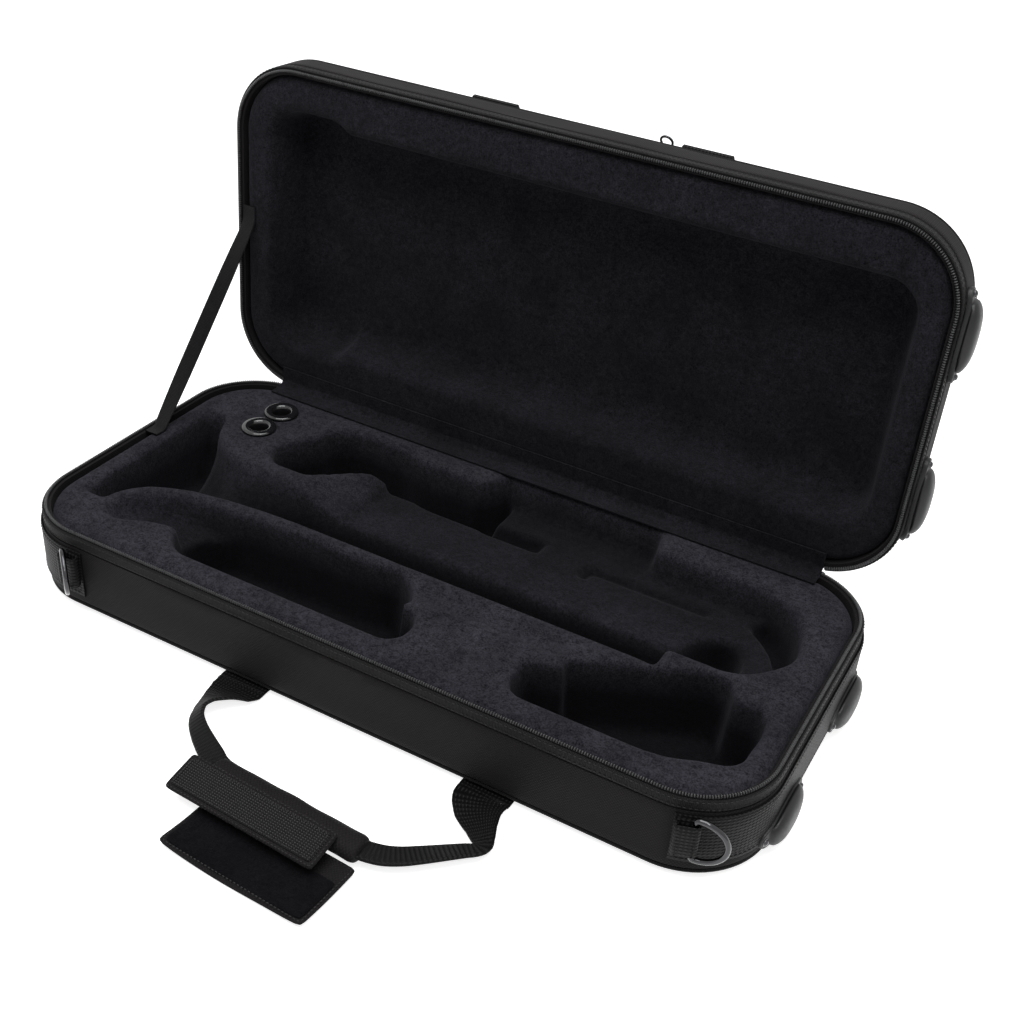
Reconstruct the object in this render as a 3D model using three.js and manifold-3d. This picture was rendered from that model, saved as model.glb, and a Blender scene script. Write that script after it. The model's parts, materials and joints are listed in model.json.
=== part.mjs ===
// Trumpet case: a soft zippered case, shown open, base on the floor and lid standing on its fabric
// hinge. Millimetres, +Z up, +X to the right along the case, +Y to the back where the hinge is.
// The origin is the middle of the base's bottom, on the floor.
import * as THREE from 'three';
import { mergeVertices } from 'three/addons/utils/BufferGeometryUtils.js';
import Module from 'manifold-3d';

const wasm = await Module();
wasm.setup();

// Overall sizes
const case_length = 576;
const case_width = 268;
const corner_radius = 58;
const corner_steps = 7;
const base_height = 68;
const lid_wall_depth = 36;
const crown_rise = 22;
const crown_run = 40;
const open_angle_deg = 92.5;

// Fits
const clearance = 0.3;
const overrun = 12;
const merge_tolerance = 1e-5;
const corner_room_share = 0.45;

// Walls
const shell_wall = 6.5;
const shell_floor = 4.3;
const bottom_rise = 4.2;
const bottom_run = 40;
const rim_recess = 3.4;

// Piping and its groove
const piping_radius = 1.6;
const groove_depth = 3.6;
const groove_height = 3.9;

// Zip
const zip_inset = 3;
const tape_width = 10.3;
const tape_thickness = 1.5;
const ledge_depth = 2.2;
const teeth_width = 2.2;
const teeth_height = 2.8;

// Insert
const insert_recess = 4;
const insert_edge_radius = 8;
const insert_floor_gap = 6;

const half_length = case_length / 2;
const half_width = case_width / 2;
const zip_half_length = half_length - zip_inset;
const zip_half_width = half_width - zip_inset;
const hinge_y = zip_half_width;
const shell_top = base_height - rim_recess;
const insert_top = base_height - insert_recess;
const lid_height = lid_wall_depth + crown_rise;

// Materials
const nylon = { color: 0x1c1a1c, roughness: 0.72, metalness: 0 };
const plush = { color: 0x17171c, roughness: 0.98, metalness: 0 };
const webbing = { color: 0x1a1a1b, roughness: 0.8, metalness: 0 };
const piping_skin = { color: 0x151516, roughness: 0.5, metalness: 0 };
const zip_nylon = { color: 0x3a3a3c, roughness: 0.35, metalness: 0 };
const rubber = { color: 0x16171a, roughness: 0.45, metalness: 0 };
const black_metal = { color: 0x1b1c1f, roughness: 0.22, metalness: 0.9 };
const gloss_plastic = { color: 0x0d0d0f, roughness: 0.12, metalness: 0 };

function piece(name, geometry, look) {
  const made = new THREE.Mesh(geometry, new THREE.MeshStandardMaterial(look));
  made.name = name;
  return made;
}

function outward(positions, index) {
  const p = new THREE.Vector3();
  const q = new THREE.Vector3();
  const r = new THREE.Vector3();
  let volume = 0;
  for (let i = 0; i < index.length; i += 3) {
    p.fromArray(positions, index[i] * 3);
    q.fromArray(positions, index[i + 1] * 3);
    r.fromArray(positions, index[i + 2] * 3);
    volume += p.dot(q.cross(r));
  }
  if (volume < 0) {
    for (let i = 0; i < index.length; i += 3) {
      const kept = index[i];
      index[i] = index[i + 1];
      index[i + 1] = kept;
    }
  }
  const geometry = new THREE.BufferGeometry();
  geometry.setAttribute('position', new THREE.Float32BufferAttribute(positions, 3));
  geometry.setIndex(index);
  geometry.computeVertexNormals();
  return geometry;
}

function toSolid(geometry) {
  const bare = geometry.clone();
  bare.deleteAttribute('normal');
  bare.deleteAttribute('uv');
  const merged = mergeVertices(bare, merge_tolerance);
  return new wasm.Manifold(new wasm.Mesh({
    numProp: 3,
    vertProperties: Float32Array.from(merged.attributes.position.array),
    triVerts: Uint32Array.from(merged.index.array),
  }));
}

function fromSolid(solid) {
  const mesh = solid.getMesh();
  const stride = mesh.numProp;
  const positions = [];
  for (let i = 0; i < mesh.numVert; i += 1) {
    positions.push(...mesh.vertProperties.slice(i * stride, i * stride + 3));
  }
  return outward(positions, Array.from(mesh.triVerts));
}

// A closed surface through rings of points, each ring with as many points, with flat ends
function loft(rings) {
  const count = rings[0].length;
  const positions = [];
  const index = [];
  rings.forEach((ring) => ring.forEach((point) => positions.push(point.x, point.y, point.z)));
  for (let i = 0; i + 1 < rings.length; i += 1) {
    for (let j = 0; j < count; j += 1) {
      const a = i * count + j;
      const b = i * count + ((j + 1) % count);
      index.push(a, b, b + count, a, b + count, a + count);
    }
  }
  const first = rings[0];
  const last = rings[rings.length - 1];
  [[first, 0, true], [last, (rings.length - 1) * count, false]].forEach(([ring, start, flipped]) => {
    const middle = ring.reduce((sum, point) => sum.add(point), new THREE.Vector3());
    middle.divideScalar(count);
    const centre = positions.length / 3;
    positions.push(middle.x, middle.y, middle.z);
    for (let j = 0; j < count; j += 1) {
      const a = start + j;
      const b = start + ((j + 1) % count);
      index.push(...(flipped ? [centre, b, a] : [centre, a, b]));
    }
  });
  return outward(positions, index);
}

// Points round a rounded rectangle, with outward normals, from the left end of the back side
// round the left end, the front and the right end to the right end of the back side
function rimPoints(halfX, halfY, radius) {
  const corners = [[-1, 1, 90], [-1, -1, 180], [1, -1, 270], [1, 1, 360]];
  const points = [];
  corners.forEach(([sx, sy, start]) => {
    for (let i = 0; i <= corner_steps; i += 1) {
      const angle = THREE.MathUtils.degToRad(start + (90 * i) / corner_steps);
      const nx = Math.cos(angle);
      const ny = Math.sin(angle);
      points.push({
        x: sx * (halfX - radius) + radius * nx,
        y: sy * (halfY - radius) + radius * ny,
        nx,
        ny,
      });
    }
  });
  return points;
}

const outer_rim = rimPoints(half_length, half_width, corner_radius);

// A pan or cap from [inset, z] steps, one flat end to the other, following the case's outline
function pan(steps, rim = outer_rim) {
  return loft(steps.map(([inset, z]) => rim.map(
    (point) => new THREE.Vector3(point.x - point.nx * inset, point.y - point.ny * inset, z),
  )));
}

// A strip of constant [inset, z] section run along the rim, closed or with two flat ends
function rimStrip(outline, rim, closed) {
  const flat = outline.map(([inset, z]) => new THREE.Vector2(inset, z));
  const section = THREE.ShapeUtils.isClockWise(flat) ? [...outline].reverse() : outline;
  const count = section.length;
  const positions = [];
  const index = [];
  rim.forEach((point) => section.forEach(([inset, z]) => {
    positions.push(point.x - point.nx * inset, point.y - point.ny * inset, z);
  }));
  const spans = closed ? rim.length : rim.length - 1;
  for (let i = 0; i < spans; i += 1) {
    const from = i * count;
    const to = ((i + 1) % rim.length) * count;
    for (let j = 0; j < count; j += 1) {
      const k = (j + 1) % count;
      index.push(from + j, to + j, to + k, from + j, to + k, from + k);
    }
  }
  if (!closed) {
    const ends = section.map(([inset, z]) => new THREE.Vector2(inset, z));
    const faces = THREE.ShapeUtils.triangulateShape(ends, []);
    const last = (rim.length - 1) * count;
    faces.forEach(([a, b, c]) => {
      index.push(a, b, c);
      index.push(last + a, last + c, last + b);
    });
  }
  return outward(positions, index);
}

function roundSection(inset, z, radius, sides = 8) {
  return Array.from({ length: sides }, (_, i) => {
    const angle = (2 * Math.PI * i) / sides;
    return [inset + radius * Math.cos(angle), z + radius * Math.sin(angle)];
  });
}

function boxSection(insetFrom, insetTo, zFrom, zTo) {
  return [[insetFrom, zFrom], [insetTo, zFrom], [insetTo, zTo], [insetFrom, zTo]];
}

// The stretch of the rim that the zip follows: both ends and the front, from one back corner to
// the other, starting where the rim has turned clear of the hinge line
const zip_rim = outer_rim.slice(1, -1);

// A flat ribbon through stations of { at, width, thick, up }, squared off at both ends
function ribbon(stations, grow = 0) {
  const rings = stations.map((station, i) => {
    const before = stations[Math.max(i - 1, 0)].at;
    const after = stations[Math.min(i + 1, stations.length - 1)].at;
    const along = after.clone().sub(before).normalize();
    const across = along.clone().cross(station.up).normalize();
    const face = across.clone().cross(along).normalize();
    const w = station.width / 2 + grow;
    const t = station.thick / 2 + grow;
    const centre = station.at.clone();
    if (grow && i === 0) centre.addScaledVector(along, -grow);
    if (grow && i === stations.length - 1) centre.addScaledVector(along, grow);
    return [[-w, -t], [w, -t], [w, t], [-w, t]].map(([a, b]) => centre.clone()
      .addScaledVector(across, a).addScaledVector(face, b));
  });
  return loft(rings);
}

// A round or oval rod through points, for wire, grips and pulls
function rod(points, across, deep, sides, up) {
  const rings = points.map((point, i) => {
    const before = points[Math.max(i - 1, 0)];
    const after = points[Math.min(i + 1, points.length - 1)];
    const along = after.clone().sub(before).normalize();
    const sideways = along.clone().cross(up).normalize();
    const face = sideways.clone().cross(along).normalize();
    return Array.from({ length: sides }, (_, j) => {
      const angle = (2 * Math.PI * (j + 0.5)) / sides;
      return point.clone().addScaledVector(sideways, across * Math.cos(angle))
        .addScaledVector(face, deep * Math.sin(angle));
    });
  });
  return loft(rings);
}

// A closed wire loop lying in the XZ plane
function wireLoop(points, radius, sides = 6) {
  const count = points.length;
  const positions = [];
  const index = [];
  points.forEach(([x, z], i) => {
    const before = points[(i + count - 1) % count];
    const after = points[(i + 1) % count];
    const along = new THREE.Vector2(after[0] - before[0], after[1] - before[1]).normalize();
    for (let j = 0; j < sides; j += 1) {
      const angle = (2 * Math.PI * (j + 0.5)) / sides;
      const out = radius * Math.cos(angle);
      positions.push(x + along.y * out, radius * Math.sin(angle), z - along.x * out);
    }
  });
  for (let i = 0; i < count; i += 1) {
    for (let j = 0; j < sides; j += 1) {
      const from = i * sides;
      const to = ((i + 1) % count) * sides;
      const k = (j + 1) % sides;
      index.push(from + j, to + j, to + k, from + j, to + k, from + k);
    }
  }
  return outward(positions, index);
}

// A shape whose corners are rounded off by up to the given radius
function roundedShape(points, radius) {
  const shape = new THREE.Shape();
  points.forEach(([x, y], i) => {
    const before = points[(i + points.length - 1) % points.length];
    const after = points[(i + 1) % points.length];
    const here = new THREE.Vector2(x, y);
    const toBefore = new THREE.Vector2(before[0] - x, before[1] - y);
    const toAfter = new THREE.Vector2(after[0] - x, after[1] - y);
    const room = Math.min(toBefore.length(), toAfter.length());
    const cut = Math.min(radius, room * corner_room_share);
    const start = here.clone().addScaledVector(toBefore.normalize(), cut);
    const end = here.clone().addScaledVector(toAfter.normalize(), cut);
    if (i === 0) shape.moveTo(start.x, start.y);
    else shape.lineTo(start.x, start.y);
    shape.quadraticCurveTo(x, y, end.x, end.y);
  });
  shape.closePath();
  return shape;
}

function prism(shape, zFrom, zTo, curveSegments = 3) {
  const depth = zTo - zFrom;
  const geometry = new THREE.ExtrudeGeometry(shape, { depth, bevelEnabled: false, curveSegments });
  return geometry.translate(0, 0, zFrom);
}

// Turns X to Y, Y to Z and Z to X, so a shape drawn as [y, z] and extruded lies along X
function alongX(geometry) {
  const y = new THREE.Vector3(0, 1, 0);
  const z = new THREE.Vector3(0, 0, 1);
  const x = new THREE.Vector3(1, 0, 0);
  return geometry.applyMatrix4(new THREE.Matrix4().makeBasis(y, z, x));
}

const inPlan = (shares) => shares.map(([x, y]) => [x * zip_half_length, y * zip_half_width]);

// Base shell, piping and zip

const base_groove_low = bottom_rise;
const base_groove_high = bottom_rise + groove_height;
const bottom_shares = [[1, 0], [0.6, 0.2], [0.3, 0.57]];
const tape_low = shell_top - tape_width + ledge_depth;

const baseShell = () => pan([
  ...bottom_shares.map(([run, rise]) => [bottom_run * run, bottom_rise * rise]),
  [groove_depth, base_groove_low],
  [groove_depth, base_groove_high],
  [0, base_groove_high + clearance],
  [0, tape_low - clearance],
  [ledge_depth, tape_low],
  [ledge_depth, shell_top],
  [shell_wall, shell_top],
  [shell_wall, shell_floor],
]);

const piping_inset = groove_depth - clearance - piping_radius;
const basePiping = () => rimStrip(
  roundSection(piping_inset, (base_groove_low + base_groove_high) / 2, piping_radius),
  outer_rim,
  true,
);

const tape_outer_inset = ledge_depth - clearance - tape_thickness;
const teeth_inset = ledge_depth - clearance;
const teeth_gap = base_height - clearance;
const baseTape = () => rimStrip(
  boxSection(
    tape_outer_inset,
    tape_outer_inset + tape_thickness,
    tape_low + clearance,
    shell_top + tape_thickness,
  ),
  zip_rim,
  false,
);
const baseTeeth = () => rimStrip(
  boxSection(
    teeth_inset + clearance,
    teeth_inset + clearance + teeth_width,
    teeth_gap - teeth_height,
    teeth_gap,
  ),
  zip_rim,
  false,
);

// Moulded insert of the base. Outlines are shares of the zip line's half length and half width.

const insert_inset = shell_wall + clearance;
const insert_edge_shares = [[0, 1], [0.12, 0.45], [0.45, 0.08], [1, 0]];
const pocket_floor = shell_floor + insert_floor_gap;
const bell_axis_share = -0.065;
const bell_axis_y = bell_axis_share * zip_half_width;
const bell_axis_rise = 2;
const bell_axis_z = insert_top + bell_axis_rise;
const bell_rim_radius = 71.5;
const bell_throat_radius = 18;
const bell_sides = 36;
const throat_half_share = 0.9;
const throat_arc_steps = 8;
const bell_profile_shares = [
  [-0.923, 1], [-0.86, 1], [-0.85, 0.8], [-0.83, 0.6], [-0.8, 0.43], [-0.755, 0.3], [-0.69, 0.17],
  [-0.58, 0.07], [-0.45, 0],
];
const channel_half_width = 17.5;
const channel_depth = 40;
const channel_end_share = 0.63;
const plateau_front_depth = 15;
const plateau_back_depth = 25;
const plateau_ramp_shares = [-0.475, -0.33];
const plateau_back_share = 0.75;
const lobe_depth = 10;
const lobe_end_depth = 34;
const soft_corner = 14;
const tight_corner = 5;

const plateau_shares = [
  [-0.475, -0.05], [-0.475, 0.75], [-0.35, 0.797], [-0.28, 0.752], [-0.21, 0.737], [-0.088, 0.737],
  [-0.042, 0.893], [0.428, 0.893], [0.449, 0.702], [0.75, 0.7], [0.82, 0.635], [0.866, 0.53],
  [0.89, 0.41], [0.902, 0.275], [0.895, 0.18], [0.863, 0.076], [0.82, -0.02], [0.77, -0.05],
];
const valve_pocket_shares = [
  [-0.575, 0.7], [-0.553, 0.76], [-0.526, 0.79], [-0.456, 0.809], [-0.35, 0.797], [-0.28, 0.752],
  [-0.21, 0.737], [-0.088, 0.737], [-0.042, 0.893], [-0.012, 0.893], [-0.008, 0.6], [-0.02, 0.535],
  [-0.19, 0.54], [-0.25, 0.572], [-0.39, 0.565], [-0.43, 0.45], [-0.465, 0.32], [-0.495, 0.237],
  [-0.604, 0.237], [-0.635, 0.29], [-0.65, 0.366], [-0.638, 0.46], [-0.612, 0.53], [-0.583, 0.6],
];
const front_pocket_shares = [
  [-0.617, -0.611], [-0.589, -0.725], [-0.544, -0.782], [0.063, -0.782], [0.091, -0.718],
  [0.091, -0.588], [0.06, -0.508], [0.02, -0.503], [0.039, -0.435], [0, -0.328], [-0.053, -0.252],
  [-0.105, -0.282], [-0.42, -0.298], [-0.526, -0.328], [-0.579, -0.397], [-0.61, -0.489],
];
const lobe_shares = [
  [-0.45, -0.32], [-0.632, -0.336], [-0.702, -0.374], [-0.779, -0.458], [-0.821, -0.573],
  [-0.814, -0.672], [-0.793, -0.733], [-0.744, -0.702], [-0.695, -0.641], [-0.632, -0.611],
  [-0.56, -0.62], [-0.45, -0.6],
];
const mute_pocket_shares = [
  [0.463, -0.504], [0.453, -0.412], [0.526, -0.336], [0.632, -0.229], [0.719, -0.135],
  [0.772, -0.092], [0.804, -0.107], [0.821, -0.168], [0.832, -0.237], [0.895, -0.229],
  [0.919, -0.275], [0.925, -0.366], [0.921, -0.611], [0.898, -0.672], [0.842, -0.706],
  [0.779, -0.767], [0.719, -0.786], [0.414, -0.786], [0.384, -0.74], [0.375, -0.656],
  [0.377, -0.565], [0.393, -0.511],
];
const bow_pocket_shares = [
  [0.63, 0.02], [0.66, -0.01], [0.72, -0.03], [0.765, 0.02], [0.79, 0.1], [0.785, 0.22],
  [0.76, 0.32], [0.72, 0.35], [0.68, 0.3], [0.65, 0.2],
];
const bow_groove_shares = [
  [0.77, 0.66], [0.82, 0.62], [0.866, 0.52], [0.89, 0.4], [0.899, 0.275], [0.885, 0.2],
  [0.855, 0.27], [0.83, 0.38], [0.79, 0.48], [0.745, 0.56],
];
const casing_slot_shares = [[-0.02, 0.51], [0.151, 0.51], [0.151, 0.635], [-0.02, 0.635]];
const slide_groove_shares = [
  [0.285, 0.43], [0.318, 0.43], [0.318, 0.5], [0.64, 0.5], [0.64, 0.56], [0.285, 0.56],
];
const front_dip_shares = [[0.05, -0.435], [0.45, -0.435], [0.42, -0.29], [0.02, -0.29]];
const bow_pocket_depth = 44;
const bow_groove_depth = 38;
const casing_slot_depth = 33;
const slide_groove_depth = 27;
const front_dip_depth = 2.5;

function pocketCut(shares, floor, corner) {
  return toSolid(prism(roundedShape(inPlan(shares), corner), floor, insert_top + overrun));
}

// A cut whose floor slopes along X, from one place and height to another
function rampCut(shares, corner, steps) {
  const plan = toSolid(prism(roundedShape(inPlan(shares), corner), 0, insert_top + overrun));
  const outline = steps.map(([x, z]) => new THREE.Vector2(x, z));
  const side = new THREE.ExtrudeGeometry(new THREE.Shape(outline), {
    depth: case_width, bevelEnabled: false, curveSegments: 1,
  }).rotateX(Math.PI / 2).translate(0, half_width, 0);
  return plan.intersect(toSolid(side));
}

function plateauCut() {
  const [rampFrom, rampTo] = plateau_ramp_shares.map((share) => share * zip_half_length);
  const high = insert_top + overrun;
  const plan = rampCut(plateau_shares, tight_corner, [
    [rampFrom, insert_top], [rampTo, insert_top - plateau_front_depth], [rampTo, 0],
    [half_length, 0], [half_length, high], [rampFrom, high],
  ]);
  const backY = plateau_back_share * zip_half_width;
  const tilt = new THREE.Shape([
    new THREE.Vector2(-half_width, insert_top - plateau_front_depth),
    new THREE.Vector2(0, insert_top - plateau_front_depth),
    new THREE.Vector2(backY, insert_top - plateau_back_depth),
    new THREE.Vector2(half_width, insert_top - plateau_back_depth),
    new THREE.Vector2(half_width, high),
    new THREE.Vector2(-half_width, high),
  ]);
  const wedge = alongX(new THREE.ExtrudeGeometry(tilt, { depth: case_length, bevelEnabled: false }));
  return plan.intersect(toSolid(wedge.translate(-half_length, 0, 0)));
}

function bellCut() {
  const span = bell_rim_radius - bell_throat_radius;
  const profile = bell_profile_shares.map(([x, share]) => new THREE.Vector2(
    bell_throat_radius + span * share,
    x * zip_half_length,
  ));
  profile.unshift(new THREE.Vector2(0, profile[0].y));
  profile.push(new THREE.Vector2(0, profile[profile.length - 1].y));
  const bell = new THREE.LatheGeometry(profile, bell_sides).rotateZ(-Math.PI / 2);
  bell.translate(0, bell_axis_y, bell_axis_z);
  const room = new THREE.BoxGeometry(case_length, case_width, base_height);
  room.translate(0, 0, pocket_floor + base_height / 2);
  return toSolid(bell).intersect(toSolid(room));
}

function channelCut() {
  const from = bell_profile_shares[bell_profile_shares.length - 1][0] * zip_half_length;
  const to = channel_end_share * zip_half_length;
  const low = insert_top - channel_depth + channel_half_width;
  const section = new THREE.Shape();
  section.moveTo(bell_axis_y + channel_half_width, insert_top + overrun);
  section.lineTo(bell_axis_y - channel_half_width, insert_top + overrun);
  section.absarc(bell_axis_y, low, channel_half_width, Math.PI, 2 * Math.PI, false);
  const run = alongX(new THREE.ExtrudeGeometry(section, {
    depth: to - from, bevelEnabled: false, curveSegments: 6,
  }));
  return toSolid(run.translate(from, 0, 0));
}

// The throat of the bell bed deepens gradually into the channel
function throatCut() {
  const to = bell_profile_shares[bell_profile_shares.length - 1][0] * zip_half_length;
  const from = bell_profile_shares[4][0] * zip_half_length;
  const steps = 5;
  const rings = Array.from({ length: steps + 1 }, (_, i) => {
    const share = i / steps;
    const x = from + (to + overrun - from) * share;
    const low = insert_top - channel_depth * Math.sqrt(share) + channel_half_width * share;
    const half = channel_half_width * (throat_half_share + (1 - throat_half_share) * share);
    const ring = [[-half, insert_top + overrun]];
    for (let j = 0; j <= throat_arc_steps; j += 1) {
      const angle = Math.PI + (Math.PI * j) / throat_arc_steps;
      ring.push([half * Math.cos(angle), low + half * Math.sin(angle) * share]);
    }
    ring.push([half, insert_top + overrun]);
    return ring.map(([y, z]) => new THREE.Vector3(x, bell_axis_y + y, z));
  });
  return toSolid(loft(rings));
}

// Mouthpiece holders

const holder_bore_radius = 7.5;
const holder_tube_radius = 10.5;
const holder_flange_radius = 14;
const holder_flange_height = 2.6;
const holder_depth = 30;
const holder_lip = 1.2;
const holder_sides = 20;
const holder_x_share = -0.747;
const holder_y_shares = [0.478, 0.706];

function holderPlaces() {
  return holder_y_shares.map((share) => [holder_x_share * zip_half_length, share * zip_half_width]);
}

function mouthpieceHolder([x, y]) {
  const bottom = insert_top - holder_depth;
  const seat = insert_top + clearance;
  const top = seat + holder_flange_height;
  const profile = [
    [0, bottom], [holder_tube_radius, bottom], [holder_tube_radius, seat],
    [holder_flange_radius, seat], [holder_flange_radius, top - holder_lip],
    [holder_flange_radius - holder_lip, top], [holder_bore_radius + holder_lip, top],
    [holder_bore_radius, top - holder_lip], [holder_bore_radius - holder_lip, bottom + holder_lip],
    [0, bottom + holder_lip],
  ].map(([r, z]) => new THREE.Vector2(r, z));
  return new THREE.LatheGeometry(profile, holder_sides).rotateX(Math.PI / 2).translate(x, y, 0);
}

function holderCut([x, y]) {
  const radius = holder_tube_radius + clearance;
  const height = holder_depth + clearance + overrun;
  const hole = new THREE.CylinderGeometry(radius, radius, height, holder_sides).rotateX(Math.PI / 2);
  return toSolid(hole.translate(x, y, insert_top - holder_depth - clearance + height / 2));
}

function baseInsert() {
  const edge = insert_edge_shares.map(([run, drop]) => [
    insert_inset + insert_edge_radius * run,
    insert_top - insert_edge_radius * drop,
  ]);
  let block = toSolid(pan([[insert_inset, shell_floor + clearance], ...edge]));
  const lobeFrom = lobe_shares[4][0] * zip_half_length;
  const lobeTo = lobe_shares[0][0] * zip_half_length;
  const high = insert_top + overrun;
  const cuts = [
    bellCut(),
    channelCut(),
    throatCut(),
    plateauCut(),
    pocketCut(valve_pocket_shares, pocket_floor, tight_corner),
    pocketCut(front_pocket_shares, pocket_floor, soft_corner / 2),
    rampCut(lobe_shares, soft_corner / 2, [
      [lobeFrom, insert_top - lobe_depth], [lobeTo, insert_top - lobe_end_depth],
      [lobeTo, high], [lobeFrom, high],
    ]),
    pocketCut(mute_pocket_shares, pocket_floor, tight_corner),
    pocketCut(bow_pocket_shares, insert_top - bow_pocket_depth, soft_corner / 2),
    pocketCut(bow_groove_shares, insert_top - bow_groove_depth, tight_corner),
    pocketCut(casing_slot_shares, insert_top - casing_slot_depth, tight_corner / 2),
    pocketCut(slide_groove_shares, insert_top - slide_groove_depth, tight_corner / 2),
    pocketCut(front_dip_shares, insert_top - front_dip_depth, tight_corner),
    ...holderPlaces().map(holderCut),
  ];
  cuts.forEach((cut) => {
    block = block.subtract(cut);
  });
  return fromSolid(block);
}

// Lid, modelled closed with z measured up from the zip line

const lid_shell_edge = rim_recess;
const lid_tape_high = rim_recess + tape_width - ledge_depth;
const lid_groove_low = lid_wall_depth - groove_height - clearance;
const crown_shares = [[0.09, 0], [0.18, 0.22], [0.36, 0.5], [0.64, 0.8], [1, 1]];
const crown_steps = crown_shares.map(([run, rise]) => [
  crown_run * run,
  lid_wall_depth + crown_rise * rise,
]);
const inner_crown_shares = [[0, 0.84], [0.2, 1.12], [0.55, 1.34], [1, 1.46]];
const inner_crown = inner_crown_shares.map(([run, rise]) => [
  shell_wall + crown_run * run,
  lid_wall_depth * rise,
]);

const lidShell = () => pan([
  ...[...inner_crown].reverse(),
  [shell_wall, lid_shell_edge],
  [ledge_depth, lid_shell_edge],
  [ledge_depth, lid_tape_high],
  [0, lid_tape_high + clearance],
  [0, lid_groove_low - clearance],
  [groove_depth, lid_groove_low],
  ...crown_steps,
]);

const lidPiping = () => rimStrip(
  roundSection(piping_inset, lid_groove_low + groove_height / 2, piping_radius),
  outer_rim,
  true,
);
const lidTape = () => rimStrip(
  boxSection(
    tape_outer_inset,
    tape_outer_inset + tape_thickness,
    lid_shell_edge - tape_thickness,
    lid_tape_high - clearance,
  ),
  zip_rim,
  false,
);
const lidTeeth = () => rimStrip(
  boxSection(
    teeth_inset + clearance,
    teeth_inset + clearance + teeth_width,
    clearance,
    clearance + teeth_height,
  ),
  zip_rim,
  false,
);

const cavity_length = 516;
const cavity_width = 184;
const cavity_radius = 26;
const cavity_shift_share = 0.01;
const cavity_depth = 42;
const cavity_run_share = 0.9;
const bell_bay_length = 78;
const bell_bay_width = 200;
const cavity_profile_shares = [[0, -0.15], [0.03, 0.02], [0.16, 0.55], [0.26, 0.78], [0.55, 0.93], [1.1, 1]];

function cavityCut(length, width, middle) {
  const rim = rimPoints(length / 2, width / 2, cavity_radius);
  const steps = cavity_profile_shares.map(([run, drop]) => [
    cavity_radius * run * cavity_run_share,
    insert_recess + cavity_depth * drop,
  ]);
  return toSolid(pan(steps, rim).translate(middle, 0, 0));
}

function lidLiner() {
  const edge = insert_edge_shares.map(([run, drop]) => [
    insert_inset + insert_edge_radius * run,
    insert_recess + insert_edge_radius * drop,
  ]);
  const back = inner_crown.map(([inset, z]) => [inset + clearance, z - clearance]);
  const body = toSolid(pan([...edge.reverse(), ...back]));
  const shift = cavity_shift_share * zip_half_length;
  const bay_middle = shift - (cavity_length - bell_bay_length) / 2;
  return fromSolid(body
    .subtract(cavityCut(cavity_length, cavity_width, shift))
    .subtract(cavityCut(bell_bay_length, bell_bay_width, bay_middle)));
}

// A place on the front slope of the lid's crown, at an inset from the outer wall, lifted off it
function crownPlace(inset, lift) {
  let i = 0;
  while (i + 2 < crown_steps.length && crown_steps[i + 1][0] < inset) i += 1;
  const [r0, z0] = crown_steps[i];
  const [r1, z1] = crown_steps[i + 1];
  const flat = inset > crown_run;
  const share = (inset - r0) / (r1 - r0);
  const z = flat ? z1 : z0 + (z1 - z0) * share;
  const slope = new THREE.Vector2(flat ? 1 : r1 - r0, flat ? 0 : z1 - z0).normalize();
  return {
    y: -half_width + inset - slope.y * lift,
    z: z + slope.x * lift,
    up: new THREE.Vector3(0, -slope.y, slope.x),
  };
}

// Fabric hinge between the backs of base and lid, drawn for the open lid

const hinge_half_length = half_length - corner_radius - zip_inset;
const gusset_thickness = 1;
const hinge_tape_thickness = 1.2;
const hinge_tape_leg = 24;
const gusset_reach = 11;

function hingeStrip(points, thickness) {
  const stations = points.map(([y, z]) => new THREE.Vector2(y, z));
  const sides = [1, -1].map((side) => stations.map((point, i) => {
    const before = stations[Math.max(i - 1, 0)];
    const after = stations[Math.min(i + 1, stations.length - 1)];
    const along = after.clone().sub(before).normalize();
    return new THREE.Vector2(
      point.x - (side * along.y * thickness) / 2,
      point.y + (side * along.x * thickness) / 2,
    );
  }));
  const shape = new THREE.Shape([...sides[0], ...sides[1].reverse()]);
  const strip = new THREE.ExtrudeGeometry(shape, { depth: 2 * hinge_half_length, bevelEnabled: false });
  return alongX(strip).translate(-hinge_half_length, 0, 0);
}

function hingeGusset() {
  const low = shell_top + clearance + gusset_thickness / 2;
  const front = hinge_y + rim_recess - clearance - gusset_thickness;
  return hingeStrip([
    [front - shell_wall - gusset_reach, low],
    [front - shell_wall, low + clearance],
    [front - zip_inset, low + gusset_thickness + clearance],
    [front - clearance, base_height + zip_inset / 2],
    [front, base_height + zip_inset + clearance],
    [front, base_height + insert_edge_radius + gusset_reach / 2],
  ], gusset_thickness);
}

function hingeTape() {
  const out = half_width + clearance + hinge_tape_thickness / 2;
  const under = base_height - zip_inset - clearance - hinge_tape_thickness;
  const fall = Math.tan(THREE.MathUtils.degToRad(open_angle_deg - 90));
  return hingeStrip([
    [out, under - hinge_tape_leg],
    [out, under - zip_inset],
    [out + zip_inset / 2, under - zip_inset / 2],
    [out + zip_inset, under - zip_inset * fall],
    [out + hinge_tape_leg, under - hinge_tape_leg * fall],
  ], hinge_tape_thickness);
}

// Stay strap at the left end, from the base's rim up to the lid's

const strap_width = 12;
const strap_thickness = 1.2;
const strap_x_inset = 12;
const strap_base_y = 20;
const strap_lid_reach = 132;
const strap_end = 14;
const strap_rise = 4;
const strap_twist_deg = 38;
const strap_steps = 8;

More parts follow.
